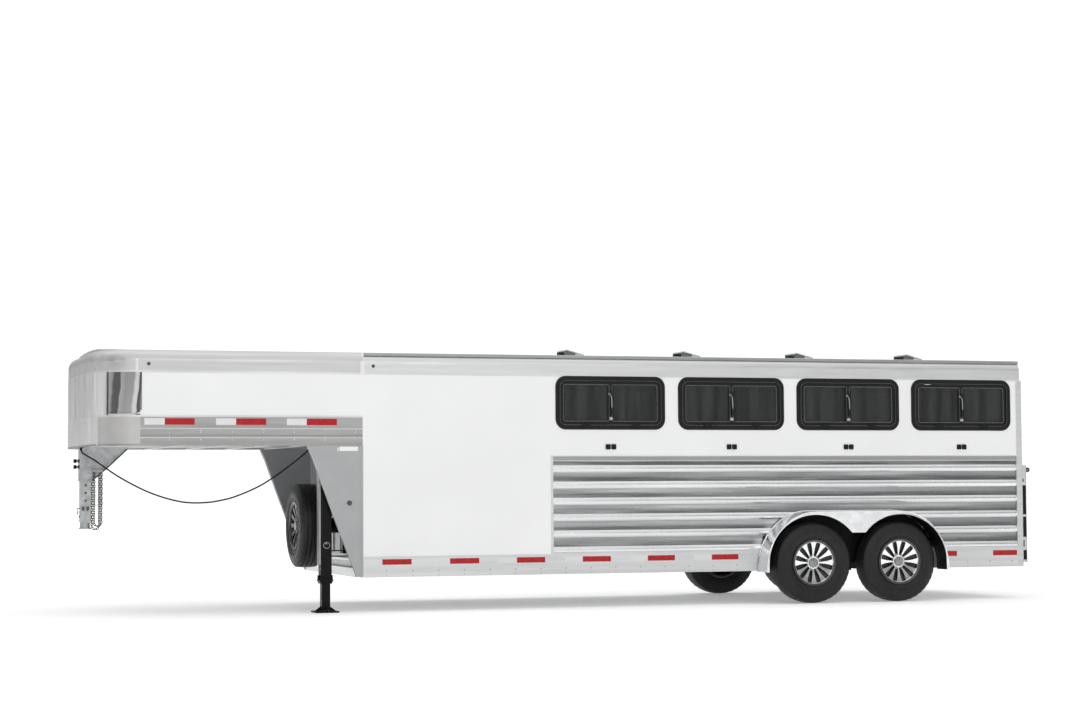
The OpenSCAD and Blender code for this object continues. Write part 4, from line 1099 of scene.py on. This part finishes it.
def chain_links(shape, path, pitch, wire):
    """Links along a path, every other one turned a quarter round it."""
    path = [Vector(p) for p in path]
    lengths = [0.0]
    for a, b in zip(path, path[1:]):
        lengths.append(lengths[-1] + (b - a).length)
    count = int(lengths[-1] / pitch)
    for i in range(count):
        want = (i + 0.5) * lengths[-1] / count
        k = max(j for j in range(len(path) - 1) if lengths[j] <= want)
        a, b = path[k], path[k + 1]
        at = a + (b - a) * ((want - lengths[k]) / max(lengths[k + 1] - lengths[k], 1e-6))
        along = (b - a).normalized()
        u = along.cross(Vector((0.1, 1, 0.05))).normalized()
        v = along.cross(u)
        turn = pi / 2 * (i % 2) + 0.35
        wide = cos(turn) * u + sin(turn) * v
        half_l, half_w = pitch * 0.5 + wire * 1.2, wire * 2.1
        straight = half_l - half_w
        loop = [at + along * (straight + half_w * sin(t)) + wide * half_w * cos(t)
                for t in (pi * s / 5 for s in range(6))]
        loop += [at - along * (straight + half_w * sin(t)) - wide * half_w * cos(t)
                 for t in (pi * s / 5 for s in range(6))]
        shape.tube(loop, wire, 6, closed=True)


def make_coupler():
    tube_lo, tube_hi = low("coupler_tube"), high("coupler_tube")
    post_lo, post_hi = low("coupler_post"), high("coupler_post")
    cx = (post_lo.x + post_hi.x) / 2
    half = tube_hi.y
    post = 0.047
    links = Shape()
    chain_lo = low("safety_chains")
    for y, bottom in ((0.078, chain_lo.z + 0.03), (-0.078, chain_lo.z)):
        x = cx - 0.105
        gap, top = 0.066, 1.285
        arc = [(x + gap / 2 * cos(a), y, bottom + gap / 2 + 0.008 - gap / 2 * sin(a))
               for a in (pi * i / 10 for i in range(11))]
        chain_links(links, [(x + gap / 2, y, top)] + arc + [(x - gap / 2, y, top)], 0.0215, 0.004)
    links.build("chain_links", "chain", smooth=50, replaces=("safety_chains",))
    hooks = Shape()
    for y in (0.078, -0.078):
        x = cx - 0.105
        for s in (1, -1):
            hooks.rod((x + s * 0.029, y - 0.014, 1.288), (x + s * 0.029, y + 0.014, 1.288), 0.006, 12)
        inner = copysign(half, y)
        hooks.block((x - 0.045, inner - copysign(0.004, y), 1.278), (x + 0.045, y + copysign(0.012, y), 1.3))
    hooks.build("chain_anchors", "zinc", bevel=0.0015)

    detail, dark = Shape(), Shape()
    # weld beads where the tube and its gussets meet the nose, collars, and the latch on the post
    for sign in (1, -1):
        y = sign * half
        edge = [(cx - half, y, tube_lo.z + 0.004), (cx - 0.195, y, 1.318), (cx - 0.385, y, 1.497)]
        dark.tube([(x, yy + sign * 0.001, z) for x, yy, z in edge], 0.0075, 8)
        detail.tube([(x + 0.022, yy, z + 0.012) for x, yy, z in edge], 0.0035, 8)
        detail.block((cx - half - 0.33, y - sign * 0.01, 1.488), (cx + half + 0.004, y + sign * 0.012, 1.4995))
        detail.block((cx - 0.215, y, 1.33), (cx - 0.2, y + sign * 0.004, 1.488))
        for z in (1.255, 1.29):
            detail.block((cx - half + 0.004, y - sign * 0.002, z),
                         (cx + half - 0.004, y + sign * 0.0022, z + 0.006))
    detail.block((cx - half - 0.004, -half - 0.004, tube_lo.z),
                 (cx + half + 0.004, half + 0.004, tube_lo.z + 0.012))
    detail.block((cx - post - 0.005, -post - 0.005, 0.905), (cx + post + 0.005, post + 0.005, 0.918))
    detail.block((cx - post - 0.004, -post - 0.004, 0.83), (cx + post + 0.004, post + 0.004, 0.838))
    detail.build("coupler_welds", "zinc", bevel=0.001)
    # three locating holes through the post are dark blocks across it, painted shade in place of the holes, with
    # the latch pin, lever and grease cap
    for i in range(3):
        z = 1.017 + 0.07 * i
        dark.block((cx - 0.01, -post - 0.0008, z - 0.01), (cx + 0.01, post + 0.0008, z + 0.01))
    for sign in (1, -1):
        dark.block((cx - 0.03, sign * (post - 0.001), 0.925), (cx - 0.006, sign * (post + 0.006), 0.962))
        dark.block((cx + 0.01, sign * (post - 0.001), 0.925), (cx + 0.034, sign * (post + 0.006), 0.962))
    dark.rod((cx - post - 0.01, 0.0, 0.87), (cx + post + 0.01, 0.0, 0.87), 0.008, 14)
    dark.tube(smooth_route([(cx + post, 0.01, 0.945), (cx + post + 0.022, 0.012, 0.947),
                            (cx + post + 0.026, 0.012, 0.925), (cx + post + 0.016, 0.012, 0.885)], 5), 0.005, 8)
    dark.build("coupler_latch", "dark_steel", bevel=0.0012)
    bolts = Shape()
    tip = tube_hi.x
    for z in (1.324, 1.378):
        bolts.rod((cx + half, 0, z), (cx + half + 0.008, 0, z), 0.0185, 6)
        bolts.rod((cx + half + 0.002, 0, z), (tip - 0.014, 0, z), 0.012, 16)
        for k in range(6):
            x = cx + half + 0.011 + 0.0045 * k
            bolts.lathe([(0.0118, -0.0012), (0.0139, 0.0), (0.0118, 0.0012)], (x, 0, z), (1, 0, 0), 20)
        bolts.rod((tip - 0.022, 0, z), (tip + 0.001, 0, z), 0.019, 6)
    bolts.build("coupler_set_bolts", "black_paint", slot="zinc_steel", bevel=0.001)


def make_jack():
    top = high("jack_tube")
    cx, cy = middle("jack_leg").x, middle("jack_leg").y
    half = 0.05
    black, pale, worn = Shape(), Shape(), Shape()
    # outer tube, wider collar at its mouth, upper tube with its head and crank socket
    z0, z1 = low("jack_tube").z, 1.17
    black.block((cx - half, cy - half, z0 + 0.055), (cx + half, cy + half, z1))
    black.block((cx - half - 0.012, cy - half - 0.012, z0 + 0.018),
                (cx + half + 0.012, cy + half + 0.012, z0 + 0.036))
    black.block((cx - half - 0.004, cy - half - 0.004, z0), (cx + half + 0.004, cy + half + 0.004, z0 + 0.055))
    for s in (1, -1):
        black.block((cx + s * half, cy - 0.01, z0 + 0.03), (cx + s * (half + 0.02), cy + 0.01, z0 + 0.075))
    black.block((cx - 0.036, cy - 0.036, z1), (cx + 0.036, cy + 0.036, top.z - 0.02))
    black.block((cx - 0.042, cy - 0.042, top.z - 0.024), (cx + 0.042, cy + 0.042, top.z))
    black.rod((cx, cy + 0.036, 1.245), (cx, cy + 0.062, 1.245), 0.016, 20)
    black.rod((cx, cy + 0.06, 1.245), (cx, cy + 0.072, 1.245), 0.008, 6)
    black.block((cx - 0.039, cy - 0.039, 0.02), (cx + 0.039, cy + 0.039, z0 + 0.02))
    for a in range(4):
        gx, gy = ((1, 0), (-1, 0), (0, 1), (0, -1))[a]
        base = Vector((cx, cy, 0.014))
        side = Vector((gx, gy, 0))
        cross = Vector((-gy, gx, 0)) * 0.004
        black.extrude([base + side * 0.039 - cross, base + side * 0.1 - cross,
                       base + side * 0.039 - cross + Vector((0, 0, 0.045))], cross * 2)
    corners = rounded(cx, 0, 0.218, 0.218, 0.012, 4)
    black.extrude([(x, cy + y, 0.0005) for x, y in corners], (0, 0, 0.0145))
    for z in (0.53, 0.9):
        black.block((BODY_X, cy - 0.03, z - 0.03), (cx - half, cy + 0.03, z - 0.02))
        black.block((BODY_X, cy - 0.03, z + 0.02), (cx - half, cy + 0.03, z + 0.03))
        black.block((BODY_X, cy - 0.044, z - 0.055), (BODY_X + 0.012, cy + 0.044, z + 0.055))
    black.build("jack_body", "black_paint", bevel=0.002, replaces=("jack_tube", "jack_leg"))
    worn.block((cx - half - 0.0008, cy - half - 0.0008, z1 - 0.022),
               (cx + half + 0.0008, cy + half + 0.0008, z1 - 0.006))
    worn.rod((cx, cy - 0.06, 0.62), (cx, cy + 0.06, 0.62), 0.007, 14)
    worn.tube([(cx + 0.028 * cos(t), cy + 0.064, 0.605 + 0.028 * sin(t)) for t in
               (2 * pi * k / 20 for k in range(20))], 0.003, 8, closed=True)
    worn.build("jack_bright_parts", "zinc", bevel=0.001)
    pale.block((cx + half, cy - half + 0.004, 0.43), (cx + half + 0.016, cy + half - 0.002, 1.3))
    pale.build("jack_cover_strip", "pale_strip", bevel=0.002)


def make_wing_details():
    """Tie ring, blank plate and edge folds on the wing plates, with ribs on the bulkhead between them."""
    ring, plate, folds, ribs = Shape(), Shape(), Shape(), Shape()
    for sign in (1, -1):
        y = sign * SIDE_Y
        out = (0, sign, 0)
        at = Vector((REAR_X + 6.823, y, 0.983))
        ring.lathe([(0.01, 0.0), (0.024, 0.0), (0.024, 0.003), (0.02, 0.006), (0.01, 0.006)], at, out, 28)
        ring.dome(at + Vector((0, sign * 0.002, 0)), out, 0.01, 0.007, 14)
        plate.beside(sign, (REAR_X + 6.745, 0, 1.452), (REAR_X + 6.915, 0.0012, 1.49))
        plate.beside(sign, (REAR_X + 6.925, 0, 1.448), (REAR_X + 6.935, 0.008, 1.482))
        outline = [(6.747, 0.322), (6.907, 0.733), (7.153, 1.397), (7.2, 1.5)]
        path = [(REAR_X + x, y - sign * 0.015, z) for x, z in outline]
        folds.tube([(x, yy, z) for x, yy, z in path], 0.0155, 8)
        folds.beside(sign, (BODY_X - 0.004, -0.02, RAIL_Z + 0.004), (BODY_X + 0.02, 0.0025, NOSE_Z))
        folds.beside(sign, (BODY_X, -0.045, 0.322), (BODY_X + 0.06, -0.03, 0.345))
    x = BODY_X
    for y in (-0.9, -0.62, -0.34, -0.06, 0.22, 0.5, 0.78):
        ribs.block((x, y - 0.012, RAIL_TOP_Z + 0.02), (x + 0.012, y + 0.012, NOSE_Z - 0.01))
    for y in (-0.48, 0.64):
        ribs.block((x, y - 0.05, RAIL_TOP_Z + 0.02), (x + 0.022, y + 0.05, NOSE_Z - 0.01))
    bar = Shape()
    bar.block((x, -1.03, RAIL_Z + 0.004), (x + 0.058, 1.03, RAIL_Z + 0.085))
    bar.block((x, -1.03, RAIL_Z + 0.14), (x + 0.02, 1.03, RAIL_Z + 0.165))
    ring.build("wing_tie_rings", "dark_steel", smooth=30)
    plate.build("wing_blank_plates", "white", bevel=0.0004)
    folds.build("wing_folds", "wing", smooth=40)
    ribs.build("bulkhead_ribs", "bulkhead", bevel=0.002)
    bar.build("bulkhead_bar", "rail", bevel=0.003)


# ---------------------------------------------------------------- nose and rear

def corner_strip(shape, a0, a1, z0, z1, d, depth, sign, n=14, lift=None):
    """A curved plate on a nose corner between two angles from straight ahead, d proud."""
    points = []
    for ring_d in (d, -depth):
        for i in range(n + 1):
            a = radians(a0 + (a1 - a0) * i / n)
            foot = z0 + (lift(i / n) if lift else 0)
            r = NOSE_R + ring_d
            x, y = CORNER_X + r * cos(a), SIDE_Y - NOSE_R + r * sin(a)
            points += [(x, sign * y, foot), (x, sign * y, z1)]
    m = 2 * (n + 1)
    faces = []
    for i in range(n):
        j = 2 * i
        faces += [(j, j + 2, j + 3, j + 1), (m + j, m + j + 1, m + j + 3, m + j + 2),
                  (j, m + j, m + j + 2, j + 2), (j + 1, j + 3, m + j + 3, m + j + 1)]
    faces += [(0, 1, m + 1, m), (m - 2, 2 * m - 2, 2 * m - 1, m - 1)]
    shape.add(points, faces)


def make_nose():
    """Brushed sheet on the nose's front, mirror covers on its corners, joiners, lips and lines."""
    front, covers, trims, dark, casting = Shape(), Shape(), Shape(), Shape(), Shape()
    side = SIDE_Y - NOSE_R
    z0, z1 = NOSE_RAIL_TOP_Z, COVE_Z
    front.block((NOSE_X - 0.002, -side, NOSE_Z + 0.016), (NOSE_X + 0.0025, side, z0 - 0.012))
    front.block((NOSE_X - 0.002, -side, z0 + 0.002), (NOSE_X + 0.0025, side, z1 - 0.002))
    for sign in (1, -1):
        corner_strip(front, 0, 48, z0 + 0.002, z1 - 0.002, 0.0025, 0.002, sign)
        corner_strip(front, 0, 29.5, NOSE_Z + 0.016, z0 - 0.012, 0.0025, 0.002, sign)
        lift = lambda t: 0.03 * max(0.0, (t - 0.62) / 0.38) ** 2
        corner_strip(covers, 50, 90, z0 + 0.012, z1 - 0.004, 0.006, 0.002, sign, 20, lift)
        covers.beside(sign, (CORNER_X - 0.012, -0.004, z0 + 0.046), (CORNER_X, 0.006, z1 - 0.004))
        corner_strip(dark, 47.6, 50.4, z0 + 0.004, z1 - 0.004, 0.0075, 0.002, sign, 3)
        corner_strip(trims, 50, 90, z0 + 0.004, z0 + 0.014, 0.0085, 0.002, sign, 20, lift)
        trims.beside(sign, (CORNER_X - 0.014, -0.004, z0 + 0.036), (CORNER_X, 0.0085, z0 + 0.047))
        corner_strip(casting, 32, 90, NOSE_Z + 0.016, z0 - 0.012, 0.0026, 0.002, sign, 20)
        # upright joiners on the corner: a wide casting edge on the rail and a narrow one above
        corner_strip(trims, 84, 87.5, COVE_Z + 0.004, COVE_Z + 0.112, 0.0032, 0.002, sign, 3)
        corner_strip(trims, 30.0, 33.5, NOSE_Z + 0.004, z0 - 0.004, 0.004, 0.002, sign, 3)
        for y in (0.115, 0.47):
            dark.block((NOSE_X, sign * y - 0.0012, z0 + 0.002),
                       (NOSE_X + 0.0032, sign * y + 0.0012, z1 - 0.002))
    # stepped lines across the rail's front
    for z in (1.558, 1.612, 1.65, 1.706):
        trims.block((NOSE_X - 0.004, -side - 0.04, z), (NOSE_X + 0.0035, side + 0.04, z + 0.007))
    casting.build("nose_corner_castings", "casting", smooth=40)
    front.build("nose_front_sheet", "brushed", smooth=40)
    covers.build("nose_corner_covers", "mirror", smooth=40)
    trims.build("nose_joiners", "side_rail", smooth=30)
    dark.build("nose_seams", "dark_steel", slot="grey_steel", smooth=30)


# How far the raised ramp's outer and inner faces stand behind the rear frame
RAMP_OUT, RAMP_IN = 0.0905, 0.006


def make_rear():
    """Black blocks as painted shade in the gap beside the ramp, straps, latches and rub strips on the ramp, and
    trim on the rear posts and doors.
    """
    lo, hi = low("rear_ramp"), high("rear_ramp")
    outside, inside = REAR_X - RAMP_OUT, REAR_X - RAMP_IN
    edge = hi.y
    gap_shade, straps, latches, grid, bars = Shape(), Shape(), Shape(), Shape(), Shape()
    for sign in (1, -1):
        y = sign * edge
        # black blocks between the ramp's skin and the rear frame: painted shade in the gap between the brackets
        for z0, z1 in ((0.375, 0.47), (0.6, 0.8), (0.822, 1.11)):
            gap_shade.block((outside + 0.008, sign * 0.97, z0), (inside, y + sign * 0.003, z1))
        for z0, z1 in ((0.47, 0.6), (1.11, 1.205)):
            straps.block((outside + 0.008, sign * 0.97, z0), (inside, y + sign * 0.003, z1))
            bars.block((outside + 0.03, y, z0 + 0.035), (outside + 0.05, y + sign * 0.0045, z1 - 0.03))
        straps.block((outside + 0.008, sign * 0.97, 0.8), (inside, y + sign * 0.006, 0.822))
        straps.block((outside, y - sign * 0.03, lo.z + 0.012),
                     (outside + 0.0075, y + sign * 0.004, hi.z - 0.015))
        # latch: a keeper beside the post, and a handle with a round nose outside the skin
        latches.block((inside - 0.04, sign * 0.965, 1.24), (inside + 0.001, y + sign * 0.004, 1.3))
        latches.rod((outside - 0.018, sign * 0.925, 1.265), (outside - 0.018, y + sign * 0.002, 1.265), 0.0225,
                    24)
        straps.rod((outside - 0.018, y, 1.265), (outside - 0.018, y + sign * 0.004, 1.265), 0.006, 20)
        straps.block((outside + 0.004, y - sign * 0.012, 1.256), (inside - 0.04, y + sign * 0.002, 1.284))
    for i in range(6):
        z = lo.z + 0.1 + i * 0.155
        grid.block((outside - 0.003, -0.96, z), (outside + 0.001, 0.96, z + 0.022))
    for y in (-0.8, 0.0, 0.8):
        grid.block((outside - 0.004, y - 0.03, lo.z + 0.02), (outside + 0.001, y + 0.03, hi.z - 0.02))
    corners = Shape()
    for sign in (1, -1):
        corners.block((REAR_X - 0.02, sign * 1.06, RAIL_Z), (REAR_X + 0.03, sign * (SIDE_Y + 0.0015), COVE_Z))
    corners.build("rear_corner_trims", "roof_rail", bevel=0.004)
    gap_shade.build("ramp_gap_shade", "rubber", "ramp", bevel=0.002)
    straps.build("ramp_edge_trim", "roof_rail", "ramp", bevel=0.002)
    bars.build("ramp_hinge_bars", "dark_steel", "ramp", bevel=0.001)
    latches.build("ramp_latches", "black_frame", "ramp", slot="black_paint", bevel=0.003)
    grid.build("ramp_ribs", "rail", "ramp", bevel=0.001)


def make_liners():
    """Black liners inside the wheel arches, down to the rails' lower edge."""
    liner = Shape()
    wells_lo, wells_hi = low("wheel_wells"), high("wheel_wells")
    front, rear = middle("tyre_front_left").x, middle("tyre_rear_left").x
    mid = (front + rear) / 2
    for sign in (1, -1):
        for x in (wells_lo.x, wells_hi.x):
            s = 1 if x < mid else -1
            liner.block((x - s * 0.002, sign * 1.0, 0.305), (x + s * 0.012, sign * 1.069, 0.64))
            liner.block((x + s * 0.01, sign * 1.000, 0.305), (x + s * 0.13, sign * 1.012, 0.52))
        liner.block((mid - 0.055, sign * 0.99, 0.3), (mid + 0.055, sign * 0.998, 0.7))
        foot = low("fenders").z
        for x, s in ((low("fenders").x + 0.018, 1), (high("fenders").x - 0.018, -1)):
            liner.block((x, sign * 1.074, foot - 0.002), (x + s * 0.004, sign * 1.284, foot + 0.14))
    liner.build("arch_liners", "plastic", bevel=0.001)


# ---------------------------------------------------------------- putting it together

# Finishes of the CAD nodes that show as they are
PAINTED = {
    "side_rail": "floor_frame",
    "frame": "cross_members floor_planks nose_floor roof_skin tack_room_wall rear_ramp",
    "white": "upper_panels tack_panels nose_panels rear_door_left rear_door_right side_door",
    "roof_rail": "rear_frame body_roof_rails",
    "nose_rail": "nose_rail",
    "nose_roof": "nose_roof_rail",
    "mirror": "nose_corners",
    "wing": "wing_plates",
    "bulkhead": "front_bulkhead",
    "zinc": "coupler_tube coupler_post",
    "chain": "safety_chains",
    "black_paint": "jack_tube jack_leg spare_bracket axles",
    "black_frame": "window_frames window_sash_1 window_sash_2 window_sash_3 window_sash_4",
    "rubber": "window_bumpers",
    "vent": "roof_vents",
    "amber": "marker_lamps",
    "red_lens": "tail_lamps",
    "glass": "fixed_window_glass window_glass_1 window_glass_2 window_glass_3 window_glass_4 side_door_glass",
    "fender": "fenders",
    "plastic": "wheel_wells",
}


def paint_frame():
    for finish, nodes in PAINTED.items():
        paint(finish, *nodes.split())


make_camera()
make_cable()
make_floor()
make_world()
paint_frame()
make_wheels()
make_fenders()
make_liners()
make_planks()
make_tape()
make_rivets()
make_rails()
make_windows()
make_vents()
make_lamps()
make_coupler()
make_jack()
make_wing_details()
make_nose()
make_rear()
